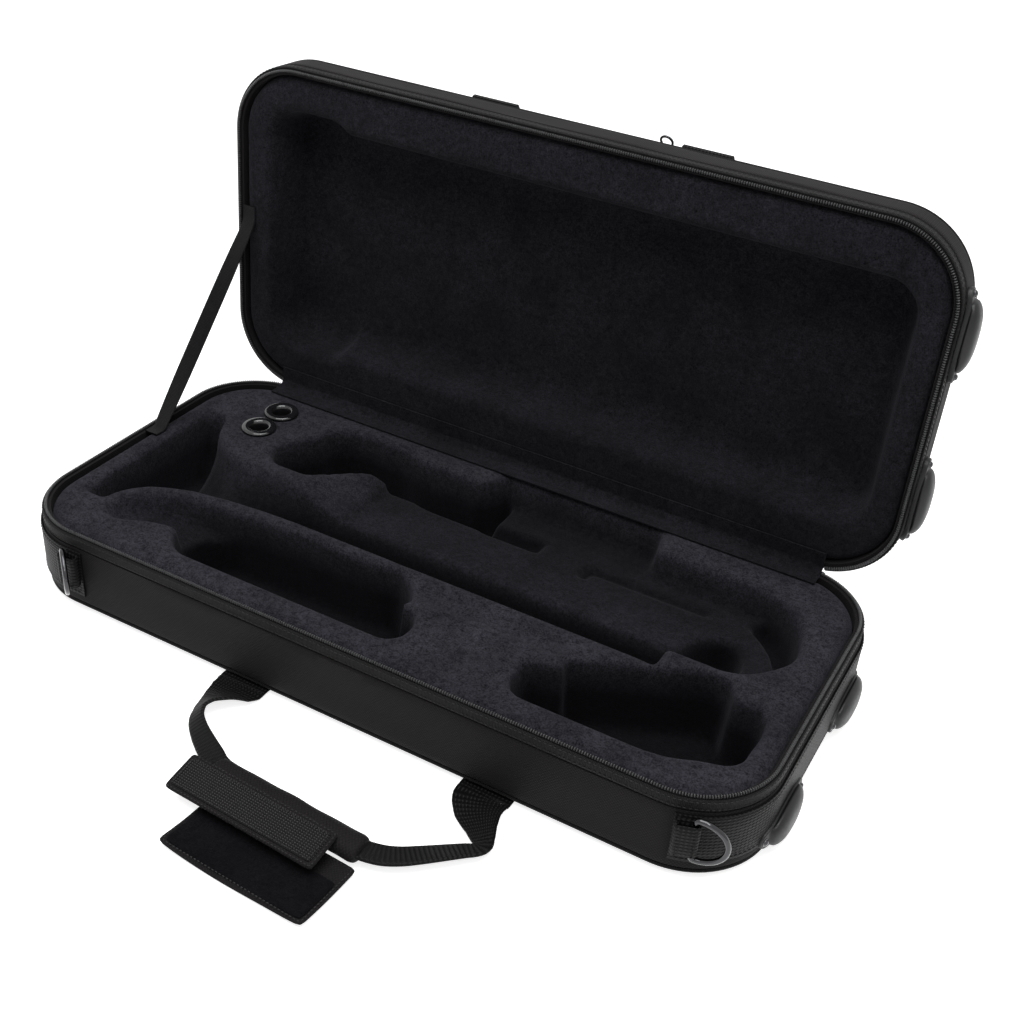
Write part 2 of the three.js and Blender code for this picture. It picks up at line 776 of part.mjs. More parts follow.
function stayStrap() {
  const x = -half_length + strap_x_inset;
  const tilt = THREE.MathUtils.degToRad(open_angle_deg - 90);
  const low = base_height + strap_thickness / 2 - rim_recess + clearance;
  const front = hinge_y + rim_recess - clearance - strap_thickness / 2;
  const lidY = (reach) => front + reach * Math.sin(tilt);
  const lower = new THREE.Vector3(x, strap_base_y, low + strap_rise);
  const upper = new THREE.Vector3(
    x,
    lidY(strap_lid_reach) - strap_rise,
    base_height + strap_lid_reach - strap_rise,
  );
  const rise = upper.clone().sub(lower).normalize();
  const backward = new THREE.Vector3(0, -rise.z, rise.y);
  const flat = new THREE.Vector3(0, 0, 1);
  const against = new THREE.Vector3(0, -1, 0);
  const stations = [
    { at: new THREE.Vector3(x, strap_base_y - strap_end, low), up: flat },
    { at: new THREE.Vector3(x, strap_base_y - strap_rise, low), up: flat },
  ];
  for (let i = 0; i <= strap_steps; i += 1) {
    const share = i / strap_steps;
    const twist = THREE.MathUtils.degToRad(strap_twist_deg) * Math.sin(Math.PI * share);
    stations.push({
      at: lower.clone().lerp(upper, share),
      up: backward.clone().applyAxisAngle(rise, twist),
    });
  }
  const end = strap_lid_reach + strap_rise;
  stations.push({ at: new THREE.Vector3(x, lidY(end), base_height + end), up: against });
  const tip = strap_lid_reach + strap_end;
  stations.push({ at: new THREE.Vector3(x, lidY(tip), base_height + tip), up: against });
  return ribbon(stations.map((s) => ({ ...s, width: strap_width, thick: strap_thickness })));
}

// Webbing bands round the ends, with their tabs and D-rings at the front

const webbing_width = 38;
const webbing_thickness = 1.5;
const band_share = 0.5147;
const band_middle_z = base_height * band_share;
const band_reach = 44;
const tab_length = 16.5;
const tab_height = 24.4;
const tab_depth = 7.4;
const ring_wire_radius = 1.9;
const ring_lift = 5;
const ring_middle_z = band_middle_z + ring_lift;
const ring_half_height = 16;
const ring_bend_share = 1.3;
const ring_reach = 21;
const right_tab_inset = 38;
const left_tab_inset = 62;
const right_tab_x = half_length - right_tab_inset;
const left_tab_x = left_tab_inset - half_length;
const left_ring_swing_deg = 41;
const right_ring_swing_deg = 12;

// A place on the case's outer wall at a distance round from the middle of an end, side +1 or -1
function wallPlace(side, round, lift) {
  const straight = half_width - corner_radius;
  const arc = (Math.PI / 2) * corner_radius;
  const far = Math.abs(round);
  const sign = Math.sign(round) || 1;
  const place = { x: half_length, y: far, nx: 1, ny: 0 };
  if (far > straight + arc) {
    place.x = half_length - corner_radius - (far - straight - arc);
    place.y = half_width;
    place.nx = 0;
    place.ny = 1;
  } else if (far > straight) {
    const angle = (far - straight) / corner_radius;
    place.nx = Math.cos(angle);
    place.ny = Math.sin(angle);
    place.x = half_length - corner_radius + corner_radius * place.nx;
    place.y = straight + corner_radius * place.ny;
  }
  return {
    x: side * (place.x + place.nx * lift),
    y: sign * (place.y + place.ny * lift),
    nx: side * place.nx,
    ny: sign * place.ny,
  };
}

const round_to_front = half_width - corner_radius + (Math.PI / 2) * corner_radius;
const roundAtFront = (x) => -(round_to_front + (half_length - corner_radius) - Math.abs(x));
const roundOnCorner = (x) => {
  const share = (Math.abs(x) - (half_length - corner_radius)) / corner_radius;
  return -(round_to_front - corner_radius * Math.asin(share));
};

function endBand(side, grow = 0) {
  const front = side > 0 ? roundOnCorner(right_tab_x) : roundAtFront(left_tab_x);
  const from = front - tab_length / 2 - grow;
  const to = half_width - corner_radius + band_reach + grow;
  const steps = 30;
  const rim = Array.from({ length: steps + 1 }, (_, i) => {
    const place = wallPlace(side, from + ((to - from) * i) / steps, 0);
    return place;
  });
  return rimStrip(boxSection(
    -clearance + grow,
    -clearance - webbing_thickness - grow,
    band_middle_z - webbing_width / 2 - grow,
    band_middle_z + webbing_width / 2 + grow,
  ), rim, false);
}

// A local frame on the wall: x along the wall, y into it, z up
function wallFrame(x) {
  const group = new THREE.Group();
  const corner = Math.abs(x) > half_length - corner_radius;
  const round = corner ? roundOnCorner(x) : roundAtFront(x);
  const place = wallPlace(Math.sign(x), round, clearance + webbing_thickness + clearance);
  group.position.set(place.x, place.y, ring_middle_z);
  group.rotation.z = Math.atan2(place.nx, -place.ny);
  return group;
}

function tabLoop() {
  const outer = roundedShape([
    [-tab_length / 2, 0], [tab_length / 2, 0], [tab_length / 2, -tab_depth], [-tab_length / 2, -tab_depth],
  ], tab_depth / 2);
  const inner = roundedShape([
    [-tab_length / 2 + webbing_thickness, webbing_thickness - tab_depth],
    [tab_length / 2 - webbing_thickness, webbing_thickness - tab_depth],
    [tab_length / 2 - webbing_thickness, -webbing_thickness],
    [-tab_length / 2 + webbing_thickness, -webbing_thickness],
  ], tab_depth / 2 - webbing_thickness);
  outer.holes.push(inner);
  return prism(outer, -tab_height / 2, tab_height / 2, 5);
}

function dRing() {
  const points = [];
  const corner = ring_bend_share * ring_wire_radius;
  const steps = 14;
  points.push([0, -ring_half_height + corner], [0, ring_half_height - corner]);
  points.push([corner / 3, ring_half_height - corner / 3]);
  for (let i = 0; i <= steps; i += 1) {
    const angle = Math.PI / 2 - (Math.PI * i) / steps;
    points.push([
      corner + (ring_reach - corner) * Math.cos(angle),
      ring_half_height * Math.sin(angle),
    ]);
  }
  points.push([corner / 3, -ring_half_height + corner / 3]);
  return wireLoop(points, ring_wire_radius, 8);
}

const ring_bar_offset = tab_length / 2 - webbing_thickness - clearance - ring_wire_radius;

function addFrontRing(to, side, x, swing_deg) {
  const frame = wallFrame(x);
  const name = side > 0 ? 'right' : 'left';
  frame.add(piece(`${name}_ring_tab`, tabLoop(), webbing));
  const ring = piece(`${name}_d_ring`, dRing(), black_metal);
  ring.position.set(side * ring_bar_offset, -tab_depth / 2, 0);
  ring.rotation.z = -THREE.MathUtils.degToRad(swing_deg);
  frame.add(ring);
  to.add(frame);
}

// Feet on the right end, bent to the wall, each with two rivets

const foot_half_length = 33;
const foot_half_width = 12;
const foot_height = 10.5;
const foot_flange = 2.9;
const foot_middle_y = 62;
const base_foot_share = 0.2647;
const base_foot_z = base_height * base_foot_share;
const lid_foot_z = 18;
const foot_shares = [
  [1, 0.8, 0], [1, 0.8, 1], [0.77, 0.95, 1.2], [0.75, 1, 2.2], [0.69, 0.93, 4.2], [0.57, 0.78, 6],
  [0.38, 0.54, 7.4], [0.15, 0.23, 8.2],
];
const foot_squareness = 0.75;
const foot_root = 4;
const rivet_share = 0.875;
const rivet_radius = 2.5;
const rivet_height = 1.5;
const rivet_shares = [[0, 0], [1, 0], [0.9, 0.5], [0.5, 0.9], [0, 1]];
const rivet_sides = 8;

function onWall(geometry, middleY, middleZ) {
  const spots = geometry.attributes.position;
  for (let i = 0; i < spots.count; i += 1) {
    const place = wallPlace(1, middleY + spots.getX(i), spots.getZ(i));
    spots.setXYZ(i, place.x, place.y, middleZ + spots.getY(i));
  }
  return outward(Array.from(spots.array), Array.from(geometry.index.array));
}

function foot(middleY, middleZ) {
  const top = foot_shares[foot_shares.length - 1][2];
  const soft = (value) => Math.sign(value) * Math.abs(value) ** foot_squareness;
  const sides = 20;
  const rings = foot_shares.map(([a, b, h]) => Array.from({ length: sides }, (_, i) => {
    const angle = (2 * Math.PI * i) / sides;
    const rise = (foot_height - foot_flange) * Math.max((h - 1) / (top - 1), 0);
    return new THREE.Vector3(
      foot_half_length * a * soft(Math.cos(angle)),
      foot_half_width * b * soft(Math.sin(angle)),
      h === 0 ? -foot_root : clearance + foot_flange + rise,
    );
  }));
  return onWall(loft(rings), middleY, middleZ);
}

function rivet(middleY, middleZ, end) {
  const along = middleY + end * foot_half_length * rivet_share;
  const place = wallPlace(1, along, foot_flange + 3 * clearance);
  const profile = rivet_shares
    .map(([r, h]) => new THREE.Vector2(rivet_radius * r, rivet_height * h));
  const head = new THREE.LatheGeometry(profile, rivet_sides).rotateZ(-Math.PI / 2);
  head.rotateZ(Math.atan2(place.ny, place.nx));
  return head.translate(place.x, place.y, middleZ);
}

// Each foot is trimmed to the wall, or the band, that it sits on
function addFeet(to, half, middleZ, seat) {
  [['front', -1], ['rear', 1]].forEach(([where, sign]) => {
    const body = toSolid(foot(sign * foot_middle_y, middleZ)).subtract(seat);
    to.add(piece(`${half}_${where}_foot`, fromSolid(body), rubber));
    [['outer', sign], ['inner', -sign]].forEach(([which, end]) => {
      const head = rivet(sign * foot_middle_y, middleZ, end);
      to.add(piece(`${half}_${where}_foot_${which}_rivet`, head, black_metal));
    });
  });
}

// Left end handle, hanging from two sewn roots

const end_handle_half_span = 66;
const end_handle_width = 25;
const end_handle_root_z = 51;
const end_handle_drop = 18;
const end_handle_reach = 18;
const end_grip_share = 0.55;
const end_grip_across = 12.5;
const end_grip_deep = 7;
const end_root_length = 20;
const end_root_gap = 1.6;
const end_root_shares = [0, 0.35, 0.7, 1];
const end_handle_lean = 0.35;
const end_handle_narrowing = 0.25;
const end_grip_sides = 14;
const end_handle_shares = [
  [-1, 0, 0], [-0.87, 0.2, 0.02], [-0.72, 0.7, 0.5], [-0.5, 0.93, 0.83],
  [-0.25, 0.99, 0.98], [0, 1, 1], [0.25, 0.99, 0.98], [0.5, 0.93, 0.83], [0.72, 0.7, 0.5],
  [0.87, 0.2, 0.02], [1, 0, 0],
];
const end_lift = 1.5 * webbing_thickness + 2 * clearance;

function endHandleStations() {
  return end_handle_shares.map(([along, out, drop]) => ({
    at: new THREE.Vector3(
      -half_length - end_lift - end_handle_reach * out,
      end_handle_half_span * along,
      end_handle_root_z - end_handle_width / 2 - end_handle_drop * drop,
    ),
    width: end_handle_width * (1 - end_handle_narrowing * out),
    thick: webbing_thickness,
    up: new THREE.Vector3(-1, 0, end_handle_lean * drop),
  }));
}

function endGrip() {
  const reach = end_handle_half_span * end_grip_share;
  const path = endHandleStations().map((s) => s.at).filter((at) => Math.abs(at.y) <= reach);
  const lean = new THREE.Vector3(-1, 0, end_handle_lean);
  const tube = rod(path, end_grip_across, end_grip_deep, end_grip_sides, lean);
  return fromSolid(toSolid(tube).subtract(toSolid(ribbon(endHandleStations(), clearance))));
}

function endRoot(sign) {
  const from = end_handle_half_span + end_root_gap;
  const x = -half_length - end_lift;
  const rise = (y) => {
    const place = wallPlace(-1, y, 0);
    return place.x + half_length;
  };
  const steps = end_root_shares.map((share) => from + end_root_length * share);
  return ribbon(steps.map((y) => ({
    at: new THREE.Vector3(x + Math.max(rise(y), 0), sign * y, end_handle_root_z - end_handle_width / 2),
    width: end_handle_width,
    thick: webbing_thickness,
    up: new THREE.Vector3(-1, 0, 0),
  })));
}

// Front carry handle on the floor, its grip wrap and flaps

const handle_middle_x = 21.5;
const handle_half_span = 96.5;
const handle_reach = 82;
const handle_hinge_gap = 3;
const handle_hinge_z = 2.2;
const handle_lift = 8;
const root_depth = 11;
const root_gap = 1.2;
const root_slope_share = 0.4;
const handle_hinge_y = -half_width - handle_hinge_gap;
const handle_shares = [
  [-1, 0, 0, 1, 1, 0], [-1, -0.05, 0, 1, 1, 0], [-1.01, -0.14, 0.2, 0.93, 1, 5],
  [-1.03, -0.27, 0.6, 0.7, 1.3, 20], [-1.045, -0.385, 0.78, 0.48, 1.7, 35],
  [-1.035, -0.49, 0.9, 0.36, 1.9, 45], [-0.985, -0.6, 0.95, 0.34, 1.9, 40],
  [-0.89, -0.7, 0.95, 0.36, 1.9, 30], [-0.78, -0.785, 0.95, 0.39, 1.8, 18],
  [-0.67, -0.86, 0.97, 0.42, 1.8, 8], [-0.56, -0.925, 1, 0.42, 1.8, 0],
  [-0.3, -0.99, 1, 0.42, 1.8, 0], [0.4, -1.04, 1, 0.42, 1.8, 0], [0.6, -1.045, 1, 0.42, 1.8, 0],
  [0.75, -1.01, 0.98, 0.42, 1.8, 0], [0.86, -0.94, 0.94, 0.42, 1.8, -4],
  [0.955, -0.845, 0.86, 0.42, 1.8, -8], [1.05, -0.74, 0.76, 0.41, 1.8, -12],
  [1.16, -0.615, 0.62, 0.38, 1.8, -15], [1.21, -0.565, 0.56, 0.35, 1.8, -16],
  [1.235, -0.51, 0.5, 0.34, 1.8, -16], [1.22, -0.45, 0.42, 0.36, 1.7, -14],
  [1.15, -0.34, 0.28, 0.52, 1.4, -10], [1.06, -0.2, 0.08, 0.8, 1, -4],
  [1.02, -0.11, 0.02, 0.93, 1, 0], [1, -0.04, 0, 1, 1, 0], [1, 0, 0, 1, 1, 0],
];

function handleStations() {
  const ups = handle_shares.map((_, i) => {
    const before = handle_shares[Math.max(i - 1, 0)];
    const after = handle_shares[Math.min(i + 1, handle_shares.length - 1)];
    const along = new THREE.Vector3(
      (after[0] - before[0]) * handle_half_span,
      (after[1] - before[1]) * handle_reach,
      (after[2] - before[2]) * handle_lift,
    ).normalize();
    const tilt = THREE.MathUtils.degToRad(handle_shares[i][5]);
    return new THREE.Vector3(0, 0, 1).applyAxisAngle(along, tilt);
  });
  return handle_shares.map(([x, y, z, w, t], i) => ({
    at: new THREE.Vector3(
      handle_middle_x + handle_half_span * x,
      handle_hinge_y + handle_reach * y,
      handle_hinge_z + handle_lift * z,
    ),
    width: webbing_width * w,
    thick: webbing_thickness * t,
    up: ups[i],
  }));
}

function handleRoot(side) {
  const x = handle_middle_x + side * handle_half_span;
  const y = handle_hinge_y + root_gap;
  const [edgeRun, edgeRise] = bottom_shares[bottom_shares.length - 1];
  const slope = (bottom_rise * edgeRise) / (bottom_run * edgeRun);
  return ribbon([
    [y, handle_hinge_z],
    [-half_width + piping_radius, handle_hinge_z],
    [-half_width + root_depth, handle_hinge_z - slope * root_depth * root_slope_share],
  ].map(([py, pz]) => ({
    at: new THREE.Vector3(x, py, pz),
    width: webbing_width,
    thick: webbing_thickness,
    up: new THREE.Vector3(0, 0, 1),
  })));
}

const grip_half_length = 61;
const grip_half_width = 10.5;
const grip_half_height = 7.4;
const grip_turn_deg = -3.2;
const grip_middle_share = 0.055;
const grip_drop_share = -1.015;
const grip_end_shares = [0.8, 0.94, 1];
const grip_end_places = [-1, -0.97, -0.9, 0.9, 0.97, 1];
const grip_roundness = 0.9;
const grip_sides = 16;
const grip_slot_gap = 0.45;
const lower_flap_width = 51.5;
const lower_flap_thickness = 2;
const lower_flap_from = -50;
const lower_flap_to = 60;
const lower_flap_y = -9.3;
const lower_flap_z = -6;
const lower_flap_tilt_deg = 3.1;
const lower_flap_hem = 15.5;
const upper_flap_width = 28;
const upper_flap_thickness = 3;
const upper_flap_length = 116;
const upper_flap_shift = -15;
const upper_flap_tilt_deg = 13;
const upper_flap_y = -4;
const upper_flap_lift = 0.1;
const tape_margin = 3;
const tape_pad = 1;

const grip_middle = new THREE.Vector3(
  handle_middle_x + handle_half_span * grip_middle_share,
  handle_hinge_y + handle_reach * grip_drop_share,
  handle_hinge_z + handle_lift,
);

function gripFrame() {
  const frame = new THREE.Group();
  frame.position.copy(grip_middle);
  frame.rotation.z = THREE.MathUtils.degToRad(grip_turn_deg);
  return frame;
}

function gripWrap() {
  const sizes = [...grip_end_shares, ...[...grip_end_shares].reverse()];
  const rings = grip_end_places.map((share, i) => Array.from({ length: grip_sides }, (_, j) => {
    const angle = (2 * Math.PI * (j + 0.5)) / grip_sides;
    const soft = (value) => Math.sign(value) * Math.abs(value) ** grip_roundness;
    return new THREE.Vector3(
      grip_half_length * share,
      grip_half_width * sizes[i] * soft(Math.cos(angle)),
      grip_half_height * sizes[i] * soft(Math.sin(angle)),
    );
  }));
  const frame = gripFrame();
  frame.updateMatrix();
  const inverse = frame.matrix.clone().invert();
  const slot = ribbon(handleStations(), grip_slot_gap).applyMatrix4(inverse);
  return fromSolid(toSolid(loft(rings)).subtract(toSolid(slot)));
}

function plate(length, width, thickness, corner) {
  const shape = roundedShape([
    [-length / 2, -width], [length / 2, -width], [length / 2, 0], [-length / 2, 0],
  ], corner);
  return prism(shape, -thickness / 2, thickness / 2, 3);
}

function addGrip(to) {
  const frame = gripFrame();
  frame.add(piece('grip_wrap', gripWrap(), nylon));
  const lower = new THREE.Group();
  lower.position.set((lower_flap_from + lower_flap_to) / 2, lower_flap_y, lower_flap_z);
  lower.rotation.x = THREE.MathUtils.degToRad(lower_flap_tilt_deg);
  const lowerLength = lower_flap_to - lower_flap_from;
  const corner = 3 * clearance;
  lower.add(piece(
    'grip_lower_flap',
    plate(lowerLength, lower_flap_width, lower_flap_thickness, corner),
    nylon,
  ));
  const loopWidth = lower_flap_width - lower_flap_hem - tape_margin;
  const loop = piece(
    'grip_loop_tape',
    plate(lowerLength - 2 * tape_margin, loopWidth, tape_pad, tape_margin),
    plush,
  );
  loop.position.set(0, -lower_flap_hem, (lower_flap_thickness + tape_pad) / 2 + clearance);
  lower.add(loop);
  frame.add(lower);
  const upper = new THREE.Group();
  const seat = grip_half_height + upper_flap_thickness / 2 + upper_flap_lift;
  upper.position.set(upper_flap_shift, upper_flap_y, seat);
  upper.rotation.x = THREE.MathUtils.degToRad(upper_flap_tilt_deg);
  upper.add(piece(
    'grip_upper_flap',
    plate(upper_flap_length, upper_flap_width, upper_flap_thickness, corner),
    nylon,
  ));
  const hook = piece(
    'grip_hook_tape',
    plate(upper_flap_length - 2 * tape_margin, upper_flap_width - 2 * tape_margin, tape_pad, tape_margin),
    webbing,
  );
  hook.position.set(0, -tape_margin, (upper_flap_thickness + tape_pad) / 2 + clearance);
  upper.add(hook);
  frame.add(upper);
  to.add(frame);
}

// Lid handle: it comes out of the seam above the piping, bulges past the wall and folds back over
// the crown

const lid_handle_middle_x = 6;
const lid_handle_half_span = 84;
const lid_handle_reach = 72;
const lid_handle_lift = 5;
const lid_handle_bulge = 4;
const bulge_shares = [[0.75, 0.5], [0.2, 0.6], [0.1, 1.05], [0.8, 1.6]];
const lid_handle_shares = [
  [-1, 0.13, 0.6], [-0.99, 0.24, 0.74], [-0.96, 0.38, 0.9], [-0.9, 0.55, 1], [-0.76, 0.76, 1],
  [-0.45, 0.95, 1], [0, 1, 1], [0.45, 0.95, 1], [0.76, 0.76, 1], [0.9, 0.55, 1], [0.96, 0.38, 0.9],
  [0.99, 0.24, 0.74], [1, 0.13, 0.6],
];

function lidHandleEnd(side) {
  const spots = bulge_shares.map(([inset, rise]) => new THREE.Vector3(
    lid_handle_middle_x + side * lid_handle_half_span,
    -half_width + lid_handle_bulge * inset,
    lid_wall_depth + lid_handle_bulge * rise,
  ));
  const first = new THREE.Vector3(1, 0, 0);
  return spots.map((at, i) => {
    const before = spots[Math.max(i - 1, 0)];
    const after = spots[Math.min(i + 1, spots.length - 1)];
    return { at, up: first.clone().cross(after.clone().sub(before)).normalize() };
  });
}

function lidHandleStations() {
  const loop = lid_handle_shares.map(([x, y, lift]) => {
    const place = crownPlace(groove_depth + lid_handle_reach * y, lid_handle_lift * lift);
    return {
      at: new THREE.Vector3(lid_handle_middle_x + lid_handle_half_span * x, place.y, place.z),
      up: place.up,
    };
  });
  const stations = [...lidHandleEnd(-1), ...loop, ...lidHandleEnd(1).reverse()];
  return stations.map((s) => ({ ...s, width: webbing_width, thick: webbing_thickness }));
}

// Outer pocket on the lid's crown, with its zip along the front edge

const pocket_inset = 46;
const pocket_thickness = 2.2;
const pocket_zip_half_length = 205;
const pocket_zip_from = 15.4;
const pocket_zip_to = 24.4;
const pocket_tape_thickness = 0.8;
const pocket_teeth_half = 1.6;
const pocket_teeth_height = 0.9;
const pocket_slider_x = 55;
const slider_length = 11;
const slider_width = 7.5;
const slider_height = 4;
const pull_length = 19;
const pull_half_width = 4.5;
const pull_wire = 0.95;

function pocketPanel() {
  const top = lid_height + clearance;
  const corner = corner_radius / 2;
  const halfX = half_length - pocket_inset;
  const halfY = half_width - pocket_inset;
  const shape = roundedShape([[-halfX, -halfY], [halfX, -halfY], [halfX, halfY], [-halfX, halfY]], corner);
  return prism(shape, top, top + pocket_thickness, 4);
}

function slopeStrip(insets, low, high) {
  const lower = insets.map((inset) => crownPlace(inset, low));
  const upper = insets.map((inset) => crownPlace(inset, high)).reverse();
  const shape = new THREE.Shape([...lower, ...upper].map((p) => new THREE.Vector2(p.y, p.z)));
  const strip = new THREE.ExtrudeGeometry(shape, { depth: 2 * pocket_zip_half_length, bevelEnabled: false });
  return alongX(strip).translate(-pocket_zip_half_length, 0, 0);
}

function sliderBody() {
  const shape = roundedShape([
    [-slider_length / 2, -slider_width / 2], [slider_length / 2, -slider_width / 2],
    [slider_length / 2, slider_width / 2], [-slider_length / 2, slider_width / 2],
  ], slider_width / 3);
  return prism(shape, 0, slider_height, 3);
}

// A pull: a long wire loop lying flat, drawn along +Y from the slider's bridge
function pullLoop() {
  const steps = 6;
  const points = [];
  for (let i = 0; i <= steps; i += 1) {
    const angle = Math.PI / 2 - (Math.PI * i) / steps;
    points.push([
      pull_length - pull_half_width + pull_half_width * Math.cos(angle),
      pull_half_width * Math.sin(angle),
    ]);
  }
  for (let i = 0; i <= steps; i += 1) {
    const angle = -Math.PI / 2 - (Math.PI * i) / steps;
    points.push([
      pull_half_width / 2 + (pull_half_width / 2) * Math.cos(angle),
      (pull_half_width / 2) * Math.sin(angle),
    ]);
  }
  return alongX(wireLoop(points, pull_wire, 6));
}

function addPocket(to) {
  to.add(piece('pocket_panel', pocketPanel(), nylon));
  const middle = (pocket_zip_from + pocket_zip_to) / 2;
  const tapeTop = clearance + pocket_tape_thickness;
  to.add(piece(
    'pocket_zip_tape',
    slopeStrip([pocket_zip_from, pocket_zip_to], clearance, tapeTop),
    webbing,
  ));
  const teethLow = tapeTop + clearance;
  to.add(piece(
    'pocket_zip_teeth',
    slopeStrip(
      [middle - pocket_teeth_half, middle + pocket_teeth_half],
      teethLow,
      teethLow + pocket_teeth_height,
    ),
    zip_nylon,
  ));
  const seat = crownPlace(middle, teethLow + pocket_teeth_height + clearance);
  const mount = new THREE.Group();
  mount.position.set(pocket_slider_x, seat.y, seat.z);
  mount.rotation.x = Math.atan2(-seat.up.y, seat.up.z);
  mount.add(piece('pocket_slider', sliderBody(), black_metal));
  const pull = piece('pocket_pull', pullLoop(), black_metal);
  pull.position.set(0, 0, slider_height + clearance + pull_wire);
  pull.rotation.z = Math.PI;
  mount.add(pull);
  to.add(mount);
}

// Main zip sliders at the hinge ends of the base's chain

function addMainSlider(to, side) {
  const x = side * (hinge_half_length + slider_length);
  const y = half_width - tape_outer_inset + clearance;
  const mount = new THREE.Group();
  mount.position.set(x, y, shell_top - slider_width / 2 - 2 * clearance);
  mount.rotation.x = -Math.PI / 2;
  const name = side > 0 ? 'right' : 'left';
  mount.add(piece(`${name}_zip_slider`, sliderBody(), black_metal));
  const pull = piece(`${name}_zip_pull`, pullLoop(), black_metal);
  pull.position.set(0, 0, slider_height + clearance + pull_wire);
  mount.add(pull);
  to.add(mount);
}

// Assembly

const trumpet_case = new THREE.Group();

const base = new THREE.Group();
base.add(piece('base_shell', baseShell(), nylon));
base.add(piece('base_bottom_piping', basePiping(), piping_skin));
base.add(piece('base_zip_tape', baseTape(), webbing));
base.add(piece('base_zip_teeth', baseTeeth(), zip_nylon));
base.add(piece('base_insert', baseInsert(), plush));
['front', 'rear'].forEach((where, i) => {
  base.add(piece(`${where}_mouthpiece_holder`, mouthpieceHolder(holderPlaces()[i]), gloss_plastic));
});
base.add(piece('right_end_band', endBand(1), webbing));
base.add(piece('left_end_band', endBand(-1), webbing));
addFrontRing(base, 1, right_tab_x, right_ring_swing_deg);
addFrontRing(base, -1, left_tab_x, left_ring_swing_deg);
const wall = toSolid(pan([[-clearance, -overrun], [-clearance, lid_height]]));
addFeet(base, 'base', base_foot_z, wall.add(toSolid(endBand(1, clearance))));
base.add(piece('left_end_handle', ribbon(endHandleStations()), webbing));
base.add(piece('left_end_grip', endGrip(), rubber));
base.add(piece('left_end_front_root', endRoot(-1), webbing));
base.add(piece('left_end_rear_root', endRoot(1), webbing));
base.add(piece('handle_webbing', ribbon(handleStations()), webbing));
base.add(piece('handle_left_root', handleRoot(-1), webbing));
base.add(piece('handle_right_root', handleRoot(1), webbing));
addGrip(base);
addMainSlider(base, 1);
addMainSlider(base, -1);
trumpet_case.add(base);

trumpet_case.add(piece('hinge_gusset', hingeGusset(), plush));
trumpet_case.add(piece('hinge_tape', hingeTape(), nylon));
trumpet_case.add(piece('stay_strap', stayStrap(), webbing));

const lid_hinge = new THREE.Group();
lid_hinge.position.set(0, hinge_y, base_height);
lid_hinge.rotation.x = -THREE.MathUtils.degToRad(open_angle_deg);
const lid = new THREE.Group();
lid.position.set(0, -hinge_y, 0);
lid.add(piece('lid_shell', lidShell(), nylon));
lid.add(piece('lid_edge_piping', lidPiping(), piping_skin));
lid.add(piece('lid_zip_tape', lidTape(), webbing));
lid.add(piece('lid_zip_teeth', lidTeeth(), zip_nylon));
lid.add(piece('lid_liner', lidLiner(), plush));
addFeet(lid, 'lid', lid_foot_z, wall);
lid.add(piece('lid_handle_webbing', ribbon(lidHandleStations()), webbing));
addPocket(lid);
lid_hinge.add(lid);
trumpet_case.add(lid_hinge);

export default trumpet_case;
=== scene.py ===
"""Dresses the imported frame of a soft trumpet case: nylon shells, plush linings, zip, straps and stage."""
import json
import math

import bmesh
import bpy
import numpy as np
from bpy.props import FloatProperty, FloatVectorProperty, IntProperty, PointerProperty
from mathutils import Matrix, Vector


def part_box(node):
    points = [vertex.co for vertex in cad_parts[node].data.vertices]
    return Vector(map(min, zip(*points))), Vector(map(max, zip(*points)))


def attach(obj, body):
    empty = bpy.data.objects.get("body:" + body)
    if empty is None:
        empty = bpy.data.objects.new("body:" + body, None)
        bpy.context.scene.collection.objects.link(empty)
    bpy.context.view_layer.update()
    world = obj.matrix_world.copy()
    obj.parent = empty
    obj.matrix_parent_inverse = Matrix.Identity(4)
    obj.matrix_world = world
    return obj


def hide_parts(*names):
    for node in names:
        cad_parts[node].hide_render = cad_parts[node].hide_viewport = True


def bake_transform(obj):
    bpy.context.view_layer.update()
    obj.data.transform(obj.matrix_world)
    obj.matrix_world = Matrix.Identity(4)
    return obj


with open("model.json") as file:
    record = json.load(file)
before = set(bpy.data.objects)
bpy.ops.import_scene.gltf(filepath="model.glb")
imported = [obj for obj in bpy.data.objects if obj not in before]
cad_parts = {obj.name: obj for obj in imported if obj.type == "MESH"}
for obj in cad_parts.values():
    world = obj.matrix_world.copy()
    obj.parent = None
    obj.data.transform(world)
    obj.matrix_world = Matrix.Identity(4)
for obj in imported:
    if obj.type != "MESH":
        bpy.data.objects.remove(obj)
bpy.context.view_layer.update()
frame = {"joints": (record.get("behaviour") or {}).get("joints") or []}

bl_info = {
    "name": "Soft trumpet case",
    "version": (1, 0, 0),
    "blender": (4, 5, 0),
    "location": "View3D > Sidebar > Trumpet case",
    "description": "Builds the cloth, plush, zip, straps and metal of a soft trumpet case on its frame",
    "category": "Add Mesh",
}

MM = 0.001
LID_HINGE = next(joint for joint in frame["joints"] if joint["name"] == "lid_hinge")
HINGE = Vector(LID_HINGE["pos_m"])
OPEN_ANGLE = math.radians(LID_HINGE["range_deg"][1])

